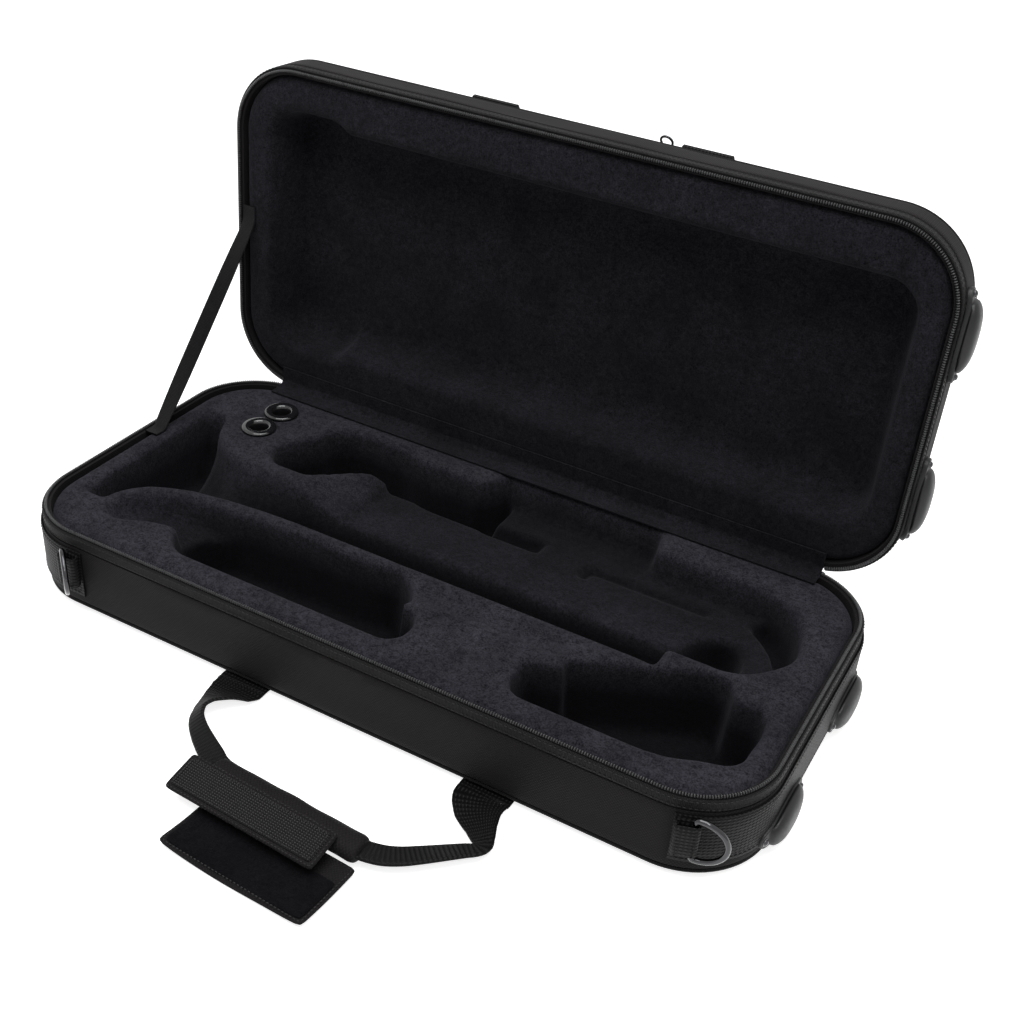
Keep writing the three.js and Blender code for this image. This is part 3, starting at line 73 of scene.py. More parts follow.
# Millimetres, as in the part
HALF_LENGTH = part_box("base_shell")[1].x / MM
HALF_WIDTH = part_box("base_shell")[1].y / MM
CORNER = 58.0
ZIP_LENGTH = HALF_LENGTH - 3
ZIP_WIDTH = HALF_WIDTH - 3
ZIP_Z = HINGE.z / MM
SHELL_TOP = ZIP_Z - 3.4
SHELL_WALL = 6.5
LINING_INSET = SHELL_WALL + 0.3
LINING_RECESS = 4.0
LINING_EDGE = 8.0
LEDGE = 2.2
TAPE_LOW = SHELL_TOP - 8.1
LID_WALL = 36.0
CROWN_RUN = 40.0
CROWN_RISE = 22.0
WEBBING = 38.0
WEBBING_THICK = 1.5
BAND_Z = 35.0
PIPING_INSET = 1.7
PIPING_RADIUS = 1.6
STRAIGHT = HALF_WIDTH - CORNER
ARC = math.pi / 2 * CORNER
HINGE_SPARE = 90 / 7
RIM_CORNER_STEPS = 22
RIM_STEP = 6.0
STITCH_SHARE = 0.72
STITCH_SECTION = (0.8, 0.55)
SHORT_STITCH = 0.0026
GRIP_TURN = math.radians(-3.2)

# Turns a point of the closed lid to where it stands open
OPENED = (
    Matrix.Translation(HINGE)
    @ Matrix.Rotation(-OPEN_ANGLE, 4, "X")
    @ Matrix.Translation(-HINGE)
)


class CaseSizes(bpy.types.PropertyGroup):
    """Sizes a maker would change."""

    weave: FloatProperty(
        name="Nylon weave", description="Width of one crossing of the nylon's threads",
        default=0.0012, unit="LENGTH",
    )
    zip_pitch: FloatProperty(
        name="Zip pitch", description="Distance between two turns of the zip's coil",
        default=0.00175, unit="LENGTH",
    )
    stitch_pitch: FloatProperty(
        name="Stitch pitch", description="Distance between two stitches of a seam",
        default=0.0034, unit="LENGTH",
    )
    lining_grain: FloatProperty(
        name="Lining grain", description="Mesh size of the moulded linings",
        default=0.0022, unit="LENGTH",
    )
    softening: IntProperty(
        name="Softening", description="Rounds of smoothing on the moulded linings", default=5,
    )


class CaseColours(bpy.types.PropertyGroup):
    """Colours of the case's materials."""

    nylon: FloatVectorProperty(
        name="Nylon", description="Outer cloth", subtype="COLOR", default=(0.0102, 0.0092, 0.0098),
    )
    plush: FloatVectorProperty(
        name="Plush", description="Lining pile", subtype="COLOR", default=(0.021, 0.0205, 0.0255),
    )
    webbing: FloatVectorProperty(
        name="Webbing", description="Straps and tapes", subtype="COLOR", default=(0.0033, 0.0032, 0.0033),
    )
    # The coil is black nylon; this colour is set lighter so that its turns show as light ticks, painted
    # highlight.
    coil: FloatVectorProperty(
        name="Zip coil", description="Turns of the zip", subtype="COLOR", default=(0.06, 0.06, 0.062),
    )
    metal: FloatVectorProperty(
        name="Black metal", description="Rings, rivets and pulls", subtype="COLOR",
        default=(0.035, 0.035, 0.038),
    )


class CaseStage(bpy.types.PropertyGroup):
    """The camera's place and the lights' levels."""

    place: FloatVectorProperty(
        name="Camera place", description="Where the camera stands", subtype="TRANSLATION",
        unit="LENGTH", default=(0.40449, -0.69829, 0.64095),
    )
    azimuth: FloatProperty(
        name="Azimuth", description="Camera's turn round the case", subtype="ANGLE",
        default=math.radians(26.7007),
    )
    elevation: FloatProperty(
        name="Elevation", description="Camera's height angle", subtype="ANGLE",
        default=math.radians(33.715),
    )
    roll: FloatProperty(
        name="Roll", description="Camera's tilt about its view", subtype="ANGLE",
        default=math.radians(4.508),
    )
    lens: FloatProperty(name="Lens", description="Focal length in millimetres", default=48.447)
    overhead: FloatProperty(
        name="Overhead light", description="Power of the softbox above", default=50.0, unit="POWER",
    )
    fill: FloatProperty(
        name="Fill light", description="Power of the softbox at the left", default=1.0, unit="POWER",
    )
    key: FloatProperty(
        name="Key light", description="Power of the small lamp that gives the metal its highlights",
        default=2.5, unit="POWER",
    )
    room: FloatProperty(name="Room light", description="Strength of the white room", default=0.3)


# Finishes by name, filled in by the materials operator
MATERIALS = {}


# Meshes

def scene_object(name, data):
    made = bpy.data.objects.new(name, data)
    bpy.context.scene.collection.objects.link(made)
    return made


def mesh_piece(name, points, faces, material, uvs=None, angle=40, move=None):
    """A mesh object from points in millimetres. uvs holds a pair in metres for each face corner."""
    data = bpy.data.meshes.new(name)
    data.from_pydata((np.asarray(points, dtype=float) * MM).tolist(), [], faces)
    if uvs is not None:
        layer = data.uv_layers.new(name="cloth")
        layer.data.foreach_set("uv", np.asarray(uvs, dtype=np.float32).ravel())
    if move is not None:
        data.transform(move)
    data.materials.append(MATERIALS[material])
    return outward(scene_object(name, data), angle)


def outward(obj, angle=40):
    """Merges a closed mesh's doubles, turns its faces outwards and smooths it."""
    work = bmesh.new()
    work.from_mesh(obj.data)
    bmesh.ops.remove_doubles(work, verts=work.verts, dist=1e-6)
    bmesh.ops.dissolve_degenerate(work, edges=work.edges, dist=1e-7)
    bmesh.ops.recalc_face_normals(work, faces=work.faces)
    work.to_mesh(obj.data)
    work.free()
    obj.data.shade_smooth()
    obj.data.set_sharp_from_angle(angle=math.radians(angle))
    return obj


def baked(obj, name):
    """The object with its modifiers applied, as a plain mesh."""
    view = bpy.context.evaluated_depsgraph_get()
    view.update()
    data = bpy.data.meshes.new_from_object(obj.evaluated_get(view))
    bpy.data.objects.remove(obj)
    return scene_object(name, data)


def finished(piece, body, slot, *nodes):
    """Attaches a finished piece to the empty of what it moves with and hides the nodes it replaces; slot,
    its finish, is not used.
    """
    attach(piece, body)
    if nodes:
        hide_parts(*nodes)
    return piece


def tube_faces(rows, columns):
    """Quads round a stack of rings and the row and column of each corner."""
    faces = []
    places = []
    for i in range(rows - 1):
        for j in range(columns):
            k = (j + 1) % columns
            faces.append((i * columns + j, i * columns + k, (i + 1) * columns + k, (i + 1) * columns + j))
            places.extend(((i, j), (i, j + 1), (i + 1, j + 1), (i + 1, j)))
    return faces, places


def end_caps(rows, columns):
    """The first and the last ring of a stack, as two faces."""
    first = (rows - 1) * columns
    return [tuple(reversed(range(columns))), tuple(range(first, first + columns))]


def stacked(name, rings, material, angle=40, move=None):
    """A closed piece from a stack of like rings of points."""
    rows, columns = len(rings), len(rings[0])
    faces, _ = tube_faces(rows, columns)
    verts = [tuple(point) for ring in rings for point in ring]
    return mesh_piece(name, verts, faces + end_caps(rows, columns), material, angle=angle, move=move)


def turned_round(sides):
    """Angles evenly round a ring."""
    return [2 * math.pi * j / sides for j in range(sides)]


def squared(angle, power):
    """An angle's cosine and sine; a power under 1 pushes them outwards and makes a ring squarer."""
    return [math.copysign(abs(v) ** power, v) for v in (math.cos(angle), math.sin(angle))]


def heading(line, i, closed=False):
    """The direction of a line at one of its points."""
    count = len(line)
    before, after = line[max(i - 1, 0)], line[min(i + 1, count - 1)]
    if closed:
        before, after = line[i - 1], line[(i + 1) % count]
    return (Vector(after) - Vector(before)).normalized()


def rim(closed=True):
    """Places, outward normals and distances round the outer wall, from its back left corner.

    An open rim leaves out the ends of the arcs next to the hinge.
    """
    spare = 0 if closed else HINGE_SPARE
    spots = []
    for number, (sx, sy) in enumerate(((-1, 1), (-1, -1), (1, -1), (1, 1))):
        centre = Vector((sx * (HALF_LENGTH - CORNER), sy * STRAIGHT))
        first = 90 + 90 * number + (spare if number == 0 else 0)
        last = 180 + 90 * number - (spare if number == 3 else 0)
        for i in range(RIM_CORNER_STEPS + 1):
            angle = math.radians(first + (last - first) * i / RIM_CORNER_STEPS)
            normal = Vector((math.cos(angle), math.sin(angle)))
            place = centre + normal * CORNER
            if i == 0 and spots:
                start = spots[-1][0]
                parts = max(1, round((place - start).length / RIM_STEP))
                spots.extend((start.lerp(place, k / parts), normal) for k in range(1, parts))
            spots.append((place, normal))
    if closed:
        start, normal = spots[-1]
        parts = max(1, round((spots[0][0] - start).length / RIM_STEP))
        spots.extend((start.lerp(spots[0][0], k / parts), normal) for k in range(1, parts))
    lengths = [0.0]
    for a, b in zip(spots, spots[1:]):
        lengths.append(lengths[-1] + (b[0] - a[0]).length)
    return [s[0] for s in spots], [s[1] for s in spots], lengths


def smooth_line(points, step):
    """A Catmull-Rom line through points, with a point about every step."""
    pts = [Vector(p) for p in points]
    count = len(pts)
    line = []
    for i in range(count - 1):
        b = pts[i]
        c = pts[i + 1]
        a = pts[i - 1] if i > 0 else b * 2 - c
        d = pts[i + 2] if i + 2 < count else c * 2 - b
        parts = max(1, round((c - b).length / step))
        for j in range(parts):
            t = j / parts
            line.append(0.5 * (
                2 * b + (c - a) * t + (2 * a - 5 * b + 4 * c - d) * t * t
                + (3 * b - a - 3 * c + d) * t * t * t
            ))
    line.append(pts[-1])
    return line


def rounded_outline(points, radius, steps=6):
    """A closed outline with its corners rounded off by up to the radius."""
    line = []
    for i, point in enumerate(points):
        here = Vector(point)
        before = Vector(points[i - 1]) - here
        after = Vector(points[(i + 1) % len(points)]) - here
        cut = min(radius, 0.45 * before.length, 0.45 * after.length)
        start = here + before.normalized() * cut
        end = here + after.normalized() * cut
        for j in range(steps + 1):
            t = j / steps
            line.append(start * (1 - t) ** 2 + here * 2 * t * (1 - t) + end * t * t)
    return line


def round_pan(name, profile, material, move=None, slack=0.0):
    """A shell of rings round the case. profile holds (inset, z) from one flat cap to the other."""
    places, normals, lengths = rim()
    columns = len(places)
    around = lengths + [lengths[-1] + (places[0] - places[-1]).length]
    verts = []
    for inset, z in profile:
        for j, (p, n) in enumerate(zip(places, normals)):
            calm = max(0.0, min(1.0, (225 - abs(p.x)) / 60))
            wave = math.sin(lengths[j] * 0.031 + z * 0.05) * math.sin(z * 0.09 - lengths[j] * 0.017)
            out = slack * calm * wave * (inset < 0.05)
            verts.append((p.x - n.x * (inset - out), p.y - n.y * (inset - out), z))
    rise = [0.0]
    for (r0, z0), (r1, z1) in zip(profile, profile[1:]):
        rise.append(rise[-1] + math.hypot(r1 - r0, z1 - z0))
    faces, corners = tube_faces(len(profile), columns)
    uvs = [(around[j] * MM, rise[i] * MM) for i, j in corners]
    caps = end_caps(len(profile), columns)
    faces += caps
    uvs += [(verts[k][0] * MM, verts[k][1] * MM) for cap in caps for k in cap]
    return mesh_piece(name, verts, faces, material, uvs, 35, move)


def strip(name, sections, material, closed=False, move=None, angle=50):
    """A solid through like sections; u runs along it and v round it."""
    rows = len(sections) + (1 if closed else 0)
    columns = len(sections[0])
    rings = [[Vector(p) for p in section] for section in sections]
    if closed:
        rings.append(rings[0])
    middles = [sum(ring, Vector((0, 0, 0))) / columns for ring in rings]
    along = [0.0]
    for a, b in zip(middles, middles[1:]):
        along.append(along[-1] + (b - a).length)
    across = [0.0]
    for j in range(columns):
        across.append(across[-1] + (rings[0][(j + 1) % columns] - rings[0][j]).length)
    faces, corners = tube_faces(rows, columns)
    uvs = [(along[i] * MM, across[j] * MM) for i, j in corners]
    if not closed:
        faces += end_caps(rows, columns)
        uvs += [(0.0, 0.0)] * columns + [(along[-1] * MM, 0.0)] * columns
    verts = [tuple(p) for ring in rings for p in ring]
    return mesh_piece(name, verts, faces, material, uvs, angle, move)


def rim_line(inset, z, closed=False):
    """A line along the rim, in from the outer wall."""
    places, normals, _ = rim(closed)
    return [Vector((p.x - n.x * inset, p.y - n.y * inset, z)) for p, n in zip(places, normals)]


def rim_strip(name, section, material, move=None):
    """A strip of (inset, z) section along the rim."""
    sections = zip(*(rim_line(inset, z) for inset, z in section))
    return strip(name, list(sections), material, move=move)


def strap_section(centre, across, face, width, thick):
    """A flat section with rounded edges, as points round the strap."""
    edge = thick / 2
    half = width / 2 - edge
    ring = []
    for side in (1, -1):
        for i in range(5):
            angle = side * (-math.pi / 2 + math.pi * i / 4)
            ring.append((side * (half + edge * math.cos(angle)), edge * math.sin(angle)))
        ring.extend((half * share * side, edge * side) for share in (0.6, 0.2, -0.2, -0.6))
    return [centre + across * a + face * b for a, b in ring]


def strap(name, stations, material, move=None, step=2.5):
    """Webbing through stations of (place, width, thickness, up)."""
    spots = [Vector(s[0]) for s in stations]
    line = smooth_line(spots, step)
    marks = [0]
    for a, b in zip(spots, spots[1:]):
        marks.append(marks[-1] + max(1, round((b - a).length / step)))
    numbers = np.arange(len(line))
    widths = np.interp(numbers, marks, [s[1] for s in stations])
    thicks = np.interp(numbers, marks, [s[2] for s in stations])
    ups = [Vector(s[3]).normalized() for s in stations]
    turned = np.stack([np.interp(numbers, marks, [up[k] for up in ups]) for k in range(3)], axis=1)
    sections = []
    for i, spot in enumerate(line):
        along = heading(line, i)
        across = along.cross(Vector(turned[i])).normalized()
        face = across.cross(along).normalized()
        sections.append(strap_section(spot, across, face, widths[i], thicks[i]))
    return strip(name, sections, material, move=move)


def rod(name, line, sizes, material, up, closed=False, sides=14, square=1.0, move=None):
    """A rod through a line of points, sizes giving (half width, half height) at each."""
    shares = [squared(angle, square) for angle in turned_round(sides)]
    sections = []
    for i, spot in enumerate(line):
        along = heading(line, i, closed)
        across = along.cross(Vector(up)).normalized()
        face = across.cross(along).normalized()
        wide, high = sizes[i] if isinstance(sizes, list) else sizes
        sections.append([Vector(spot) + across * wide * c + face * high * s for c, s in shares])
    return strip(name, sections, material, closed=closed, move=move, angle=60)


def turned_piece(name, profile, place, material, steps=64, move=None):
    """A lathe-turned piece from (radius, height) steps; place is a matrix in millimetres."""
    turns = [(math.cos(angle), math.sin(angle)) for angle in turned_round(steps)]
    rings = [
        [place @ Vector((radius * c, radius * s, height)) for c, s in turns] for radius, height in profile
    ]
    return stacked(name, rings, material, move=move)


def from_core(x, y, half_x, half_y, corner):
    """The nearest places in a rounded rectangle's square-cornered core, and the way out from them."""
    core_x = np.clip(x, corner - half_x, half_x - corner)
    core_y = np.clip(y, corner - half_y, half_y - corner)
    return core_x, core_y, x - core_x, y - core_y


def cell_corners(shape):
    """The numbers of the four corners of each cell in a grid of points."""
    number = np.arange(shape[0] * shape[1]).reshape(shape)
    return [number[:-1, :-1], number[:-1, 1:], number[1:, 1:], number[1:, :-1]]


def grid_points(*parts):
    return np.stack(parts, axis=-1).reshape(-1, 3)


def sewn_pad(
    name, half_x, half_y, corner, thickness, material, place, bend=None, puff=0.0, step=3.0, move=None,
):
    """A flat pad with rounded corners and edges. bend(x, y) lifts it and puff crowns its faces."""
    def lines(half):
        edges = [half - thickness * share for share in (0, 0.06, 0.2, 0.5)]
        count = max(2, round(2 * edges[-1] / step))
        inner = np.linspace(-edges[-1], edges[-1], count + 1)
        return np.concatenate(([-e for e in edges[:-1]], inner, edges[-2::-1]))

    x, y = np.meshgrid(lines(half_x), lines(half_y))
    core_x, core_y, dx, dy = from_core(x, y, half_x, half_y, corner)
    ring = np.maximum(np.abs(dx), np.abs(dy))
    scale = ring / np.maximum(np.hypot(dx, dy), 1e-9)
    x, y = core_x + dx * scale, core_y + dy * scale
    share = np.clip((corner - ring) / (thickness / 2), 0, 1)
    half = thickness / 2 * np.sqrt(1 - (1 - share) ** 2)
    crown = puff * share * (1 - (x / half_x) ** 4) * (1 - (y / half_y) ** 4)
    lift = bend(x, y) if bend else 0 * x
    quads = np.stack(cell_corners(x.shape), axis=-1).reshape(-1, 4)
    faces = np.concatenate([quads, quads[:, ::-1] + x.size])
    verts = np.concatenate([grid_points(x, y, lift + half + crown), grid_points(x, y, lift - half)])
    uvs = verts[faces.ravel()][:, :2] * MM
    verts = [tuple(place @ Vector(v)) for v in verts]
    return mesh_piece(name, verts, faces.tolist(), material, uvs, 60, move)


# Moulded linings

def wall_inset(x, y, half_x=HALF_LENGTH, half_y=HALF_WIDTH, corner=CORNER):
    """How far in from a rounded rectangle, at first the outer wall, a place is."""
    over_x = np.abs(x) - (half_x - corner)
    over_y = np.abs(y) - (half_y - corner)
    bend = np.hypot(np.maximum(over_x, 0), np.maximum(over_y, 0))
    return corner - bend - np.minimum(np.maximum(over_x, over_y), 0)


def edge_drop(inset):
    near = np.clip(inset - LINING_INSET, 0, LINING_EDGE)
    return LINING_EDGE - np.sqrt(LINING_EDGE ** 2 - (LINING_EDGE - near) ** 2)


def inside_by(outline, x, y):
    """Signed distance to a closed outline, positive inside it."""
    best = np.full(x.shape, np.inf)
    inside = np.zeros(x.shape, bool)
    for (ax, ay), (bx, by) in zip(outline, outline[1:] + outline[:1]):
        ex, ey = bx - ax, by - ay
        square = ex * ex + ey * ey
        if square < 1e-12:
            continue
        t = np.clip(((x - ax) * ex + (y - ay) * ey) / square, 0, 1)
        best = np.minimum(best, np.hypot(x - ax - t * ex, y - ay - t * ey))
        if ay != by:
            inside ^= ((ay > y) != (by > y)) & (x < ex * (y - ay) / ey + ax)
    return np.where(inside, best, -best)


def sunk(distance, depth, lip=5.0, run=2.5, foot=4.0):
    """How far the pile sinks at a pocket's edge: a rounded lip, a wall and a filleted floor."""
    lip = np.minimum(lip, 0.45 * depth)
    foot = np.minimum(foot, 0.35 * depth)
    first = np.clip((distance + lip) / np.maximum(lip, 1e-6), 0, 1)
    second = np.clip(distance / run, 0, 1)
    third = np.clip((distance - run) / np.maximum(foot, 1e-6), 0, 1)
    bottom = foot * np.sqrt(1 - (1 - third) ** 2)
    return lip * (1 - np.sqrt(1 - first ** 2)) + (depth - lip - foot) * second + bottom


def moulded(name, face, back, material, voxel, rounds, move=None):
    """A closed moulding between face(x, y) and back(x, y) inside the shell's wall, remeshed evenly."""
    pitch = 1.5
    x, y = np.meshgrid(
        np.arange(-HALF_LENGTH + SHELL_WALL, HALF_LENGTH - SHELL_WALL + pitch, pitch),
        np.arange(-HALF_WIDTH + SHELL_WALL, HALF_WIDTH - SHELL_WALL + pitch, pitch),
    )
    core_x, core_y, dx, dy = from_core(x, y, HALF_LENGTH, HALF_WIDTH, CORNER)
    far = np.hypot(dx, dy)
    limit = CORNER - LINING_INSET
    scale = np.where(far > limit, limit / np.maximum(far, 1e-9), 1)
    x, y = core_x + dx * scale, core_y + dy * scale
    inside = far < limit
    kept = inside[:-1, :-1] | inside[:-1, 1:] | inside[1:, 1:] | inside[1:, :-1]
    corners = cell_corners(x.shape)
    quads = np.stack([c[kept] for c in corners], axis=-1)
    padded = np.pad(kept, 1)
    neighbours = [padded[:-2, 1:-1], padded[1:-1, 2:], padded[2:, 1:-1], padded[1:-1, :-2]]
    sides = []
    for k, neighbour in enumerate(neighbours):
        open_side = kept & ~neighbour
        a, b = corners[k][open_side], corners[(k + 1) % 4][open_side]
        sides.append(np.stack([b, a, a + x.size, b + x.size], axis=-1))
    faces = np.concatenate([quads, quads[:, ::-1] + x.size] + sides)
    verts = np.concatenate([grid_points(x, y, face(x, y)), grid_points(x, y, back(x, y))])
    used = np.unique(faces)
    fresh = np.full(len(verts), -1)
    fresh[used] = np.arange(len(used))
    block = mesh_piece(name + "_block", verts[used], fresh[faces].tolist(), material, move=move)
    remesh = block.modifiers.new("even", "REMESH")
    remesh.mode = "VOXEL"
    remesh.voxel_size = voxel
    soften = block.modifiers.new("soften", "SMOOTH")
    soften.factor = 0.5
    soften.iterations = rounds
    made = baked(block, name)
    made.data.shade_smooth()
    if not made.data.materials:
        made.data.materials.append(MATERIALS[material])
    return made


# Node trees

def bare_tree(owner, kind):
    """Empties a material's or world's node tree down to its output node."""
    owner.use_nodes = True
    tree = owner.node_tree
    tree.nodes.clear()
    return tree, tree.nodes.new(kind)


def material_tree(name):
    made = bpy.data.materials.new(name)
    tree, out = bare_tree(made, "ShaderNodeOutputMaterial")
    shader = tree.nodes.new("ShaderNodeBsdfPrincipled")
    tree.links.new(shader.outputs["BSDF"], out.inputs["Surface"])
    return made, tree, shader


def mapped(tree, kind):
    """An object's own coordinates, and the parts of the map that is named: UV or Object."""
    spot = add(tree, "ShaderNodeTexCoord")
    split = add(tree, "ShaderNodeSeparateXYZ")
    tree.links.new(spot.outputs[kind], split.inputs[0])
    return spot, split.outputs


def add(tree, kind, **settings):
    node = tree.nodes.new(kind)
    for key, value in settings.items():
        setattr(node, key, value)
    return node


def filled(node, **values):
    """Sets a node's inputs by their names, with _ for each space."""
    for key, value in values.items():
        node.inputs[key.replace("_", " ")].default_value = value
    return node


def maths(tree, operation, a, b=None):
    node = add(tree, "ShaderNodeMath", operation=operation)
    for socket, value in zip(node.inputs, (a, b)):
        if value is None:
            continue
        if isinstance(value, (int, float)):
            socket.default_value = value
        else:
            tree.links.new(value, socket)
    return node.outputs[0]


def noise(tree, vector, scale, detail=2.0, roughness=0.5):
    node = filled(add(tree, "ShaderNodeTexNoise"), Scale=scale, Detail=detail, Roughness=roughness)
    tree.links.new(vector, node.inputs["Vector"])
    return node.outputs["Fac"]


def ramp(tree, value, low, high, to_low=0.0, to_high=1.0):
    node = add(tree, "ShaderNodeMapRange")
    filled(node, From_Min=low, From_Max=high, To_Min=to_low, To_Max=to_high)
    tree.links.new(value, node.inputs["Value"])
    return node.outputs["Result"]


def tinted(tree, shader, colour, amount):
    """Base colour scaled by a varying amount."""
    node = add(tree, "ShaderNodeVectorMath", operation="SCALE")
    node.inputs[0].default_value = colour
    tree.links.new(amount, node.inputs["Scale"])
    tree.links.new(node.outputs[0], shader.inputs["Base Color"])


def bumped(tree, shader, height, strength, distance):
    node = filled(add(tree, "ShaderNodeBump"), Strength=strength, Distance=distance)
    tree.links.new(height, node.inputs["Height"])
    tree.links.new(node.outputs[0], shader.inputs["Normal"])


def cloth_finish(shader, roughness, specular, sheen):
    """Dull fibres: little mirror reflection and a faint bloom at grazing angles."""
    filled(shader, Roughness=roughness, Specular_IOR_Level=specular, Sheen_Weight=sheen, Sheen_Roughness=0.6)


def nylon_material(colours, sizes):
    """Plain-woven nylon: two crossing waves over the cloth's own map."""
    made, tree, shader = material_tree("nylon")
    spot, parts = mapped(tree, "UV")
    turns = math.pi / sizes.weave
    waves = [maths(tree, "SINE", maths(tree, "MULTIPLY", part, turns)) for part in parts[:2]]
    weave = maths(tree, "MULTIPLY", *waves)
    threads = noise(tree, spot.outputs["UV"], 1400, 2)
    cloudy = noise(tree, spot.outputs["Object"], 22, 4, 0.6)
    level = maths(
        tree, "ADD", ramp(tree, weave, -1, 1, 0.6, 1.2), ramp(tree, threads, 0.3, 0.7, -0.3, 0.35),
    )
    colour_scale = ramp(tree, cloudy, 0.3, 0.7, 0.9, 1.12)
    tinted(tree, shader, colours.nylon, maths(tree, "MULTIPLY", level, colour_scale))
    bumped(tree, shader, maths(tree, "ADD", weave, threads), 0.55, 0.0002)
    cloth_finish(shader, 0.6, 0.06, 0.02)
    return made


def plush_material(colours, name, low, high):
    """Short brushed pile with random paler and darker brushed patches, darkened low down by painted shade.
    """
    made, tree, shader = material_tree(name)
    spot, parts = mapped(tree, "Object")
    pile = noise(tree, spot.outputs["Object"], 900, 3, 0.7)
    tufts = noise(tree, spot.outputs["Object"], 260, 2, 0.6)
    brushed = noise(tree, spot.outputs["Object"], 26, 4, 0.65)
    level = maths(
        tree, "ADD", ramp(tree, pile, 0.3, 0.7, 0.2, 1.75), ramp(tree, tufts, 0.3, 0.7, -0.35, 0.35),
    )
    # Painted shade: the lower the pile lies, the darker its colour, down to a tenth on the pockets' floors.
    height = ramp(tree, parts[2], low, high, 0.1, 1.0)
    colour_scale = maths(tree, "MULTIPLY", ramp(tree, brushed, 0.3, 0.7, 0.68, 1.32), height)
    tinted(tree, shader, colours.plush, maths(tree, "MULTIPLY", level, colour_scale))
    bumped(tree, shader, maths(tree, "ADD", pile, maths(tree, "MULTIPLY", tufts, 0.6)), 0.8, 0.0006)
    cloth_finish(shader, 0.9, 0.04, 0.035)
    shader.inputs["Sheen Tint"].default_value = (0.85, 0.86, 1.0, 1.0)
    return made


def webbing_material(colours, name, rib, slant=1.0, gain=1.0):
    """Ribs along the strap, crossed by slanted threads."""
    made, tree, shader = material_tree(name)
    spot, parts = mapped(tree, "UV")
    rows = maths(tree, "SINE", maths(tree, "MULTIPLY", parts[1], 2 * math.pi / rib))
    shifted = maths(tree, "ADD", parts[0], maths(tree, "MULTIPLY", rows, slant * rib * 0.2))
    picks = maths(tree, "SINE", maths(tree, "MULTIPLY", shifted, 2 * math.pi / (rib * 1.15)))
    height = maths(tree, "ADD", maths(tree, "MULTIPLY", rows, 0.6), maths(tree, "MULTIPLY", picks, 0.5))
    fuzz = noise(tree, spot.outputs["Object"], 700, 2)
    # The ribs are the webbing's real weave; lifting the crests' colour up to twenty times over the troughs'
    # is painted highlight on them.
    painted_crest_glint = ramp(tree, height, 0.3, 1.0, 0.3 * gain, 6 * gain)
    level = maths(tree, "ADD", painted_crest_glint, ramp(tree, fuzz, 0.3, 0.7, -0.15, 0.15))
    tinted(tree, shader, colours.webbing, level)
    bumped(tree, shader, height, 0.8, 0.0003)
    cloth_finish(shader, 0.5, 0.1, 0.015)
    return made


def smooth_material(name, colour, roughness, metallic=0.0, wear=0.06, bump=0.0, coat=0.0, specular=0.5):
    """A hard surface with fine changes of gloss."""
    made, tree, shader = material_tree(name)
    spot = add(tree, "ShaderNodeTexCoord")
    fine = noise(tree, spot.outputs["Object"], 600, 3, 0.6)
    broad = noise(tree, spot.outputs["Object"], 60, 3, 0.6)
    tinted(tree, shader, colour, ramp(tree, broad, 0.3, 0.7, 0.9, 1.1))
    gloss = maths(
        tree, "ADD", ramp(tree, fine, 0.3, 0.7, -wear, wear),
        ramp(tree, broad, 0.3, 0.7, roughness - wear, roughness + wear),
    )
    tree.links.new(gloss, shader.inputs["Roughness"])
    filled(shader, Metallic=metallic, Coat_Weight=coat, Specular_IOR_Level=specular)
    if bump:
        bumped(tree, shader, fine, bump, 0.0002)
    return made


# Repeats along a path

def repeat_tree():
    """Sets a small oval on every pitch of a curve, long across or along it."""
    tree = bpy.data.node_groups.new("Repeat along path", "GeometryNodeTree")
    for name, way, kind in (
        ("Geometry", "INPUT", "Geometry"), ("Pitch", "INPUT", "Float"), ("Size", "INPUT", "Vector"),
        ("Material", "INPUT", "Material"), ("Geometry", "OUTPUT", "Geometry"),
    ):
        tree.interface.new_socket(name, in_out=way, socket_type="NodeSocket" + kind)
    enter = tree.nodes.new("NodeGroupInput")
    leave = tree.nodes.new("NodeGroupOutput")
    points = add(tree, "GeometryNodeCurveToPoints", mode="LENGTH")
    align = add(tree, "FunctionNodeAlignRotationToVector", axis="X", pivot_axis="Z")
    bead = filled(add(tree, "GeometryNodeMeshUVSphere"), Segments=8, Rings=5, Radius=0.5)
    smooth = add(tree, "GeometryNodeSetShadeSmooth")
    place = add(tree, "GeometryNodeInstanceOnPoints")
    real = add(tree, "GeometryNodeRealizeInstances")
    paint = add(tree, "GeometryNodeSetMaterial")
    for start, output, end, socket in (
        (enter, "Geometry", points, "Curve"), (enter, "Pitch", points, "Length"),
        (points, "Tangent", align, "Vector"), (bead, "Mesh", smooth, "Geometry"),
        (points, "Points", place, "Points"), (smooth, "Geometry", place, "Instance"),
        (align, "Rotation", place, "Rotation"), (enter, "Size", place, "Scale"),
        (place, "Instances", real, "Geometry"), (real, "Geometry", paint, "Geometry"),
        (enter, "Material", paint, "Material"), (paint, "Geometry", leave, "Geometry"),
    ):
        tree.links.new(start.outputs[output], end.inputs[socket])
    return tree


def repeat_along(name, lines, pitch, size, material, closed=False, move=None):
    """Small ovals of size (along, across, up) in millimetres on each pitch of the lines."""
    tree = bpy.data.node_groups.get("Repeat along path") or repeat_tree()
    curve = bpy.data.curves.new(name, "CURVE")
    curve.dimensions = "3D"
    for line in lines:
        spline = curve.splines.new("POLY")
        spline.points.add(len(line) - 1)
        for point, spot in zip(spline.points, line):
            point.co = (spot[0] * MM, spot[1] * MM, spot[2] * MM, 1)
        spline.use_cyclic_u = closed
    holder = scene_object(name + "_path", curve)
    modifier = holder.modifiers.new("repeat", "NODES")
    modifier.node_group = tree
    values = {"Pitch": pitch, "Size": [s * MM for s in size], "Material": MATERIALS[material]}
    for item in tree.interface.items_tree:
        if item.in_out == "INPUT" and item.name in values:
            modifier[item.identifier] = values[item.name]
    made = baked(holder, name)
    if move is not None:
        made.data.transform(move)
    return made


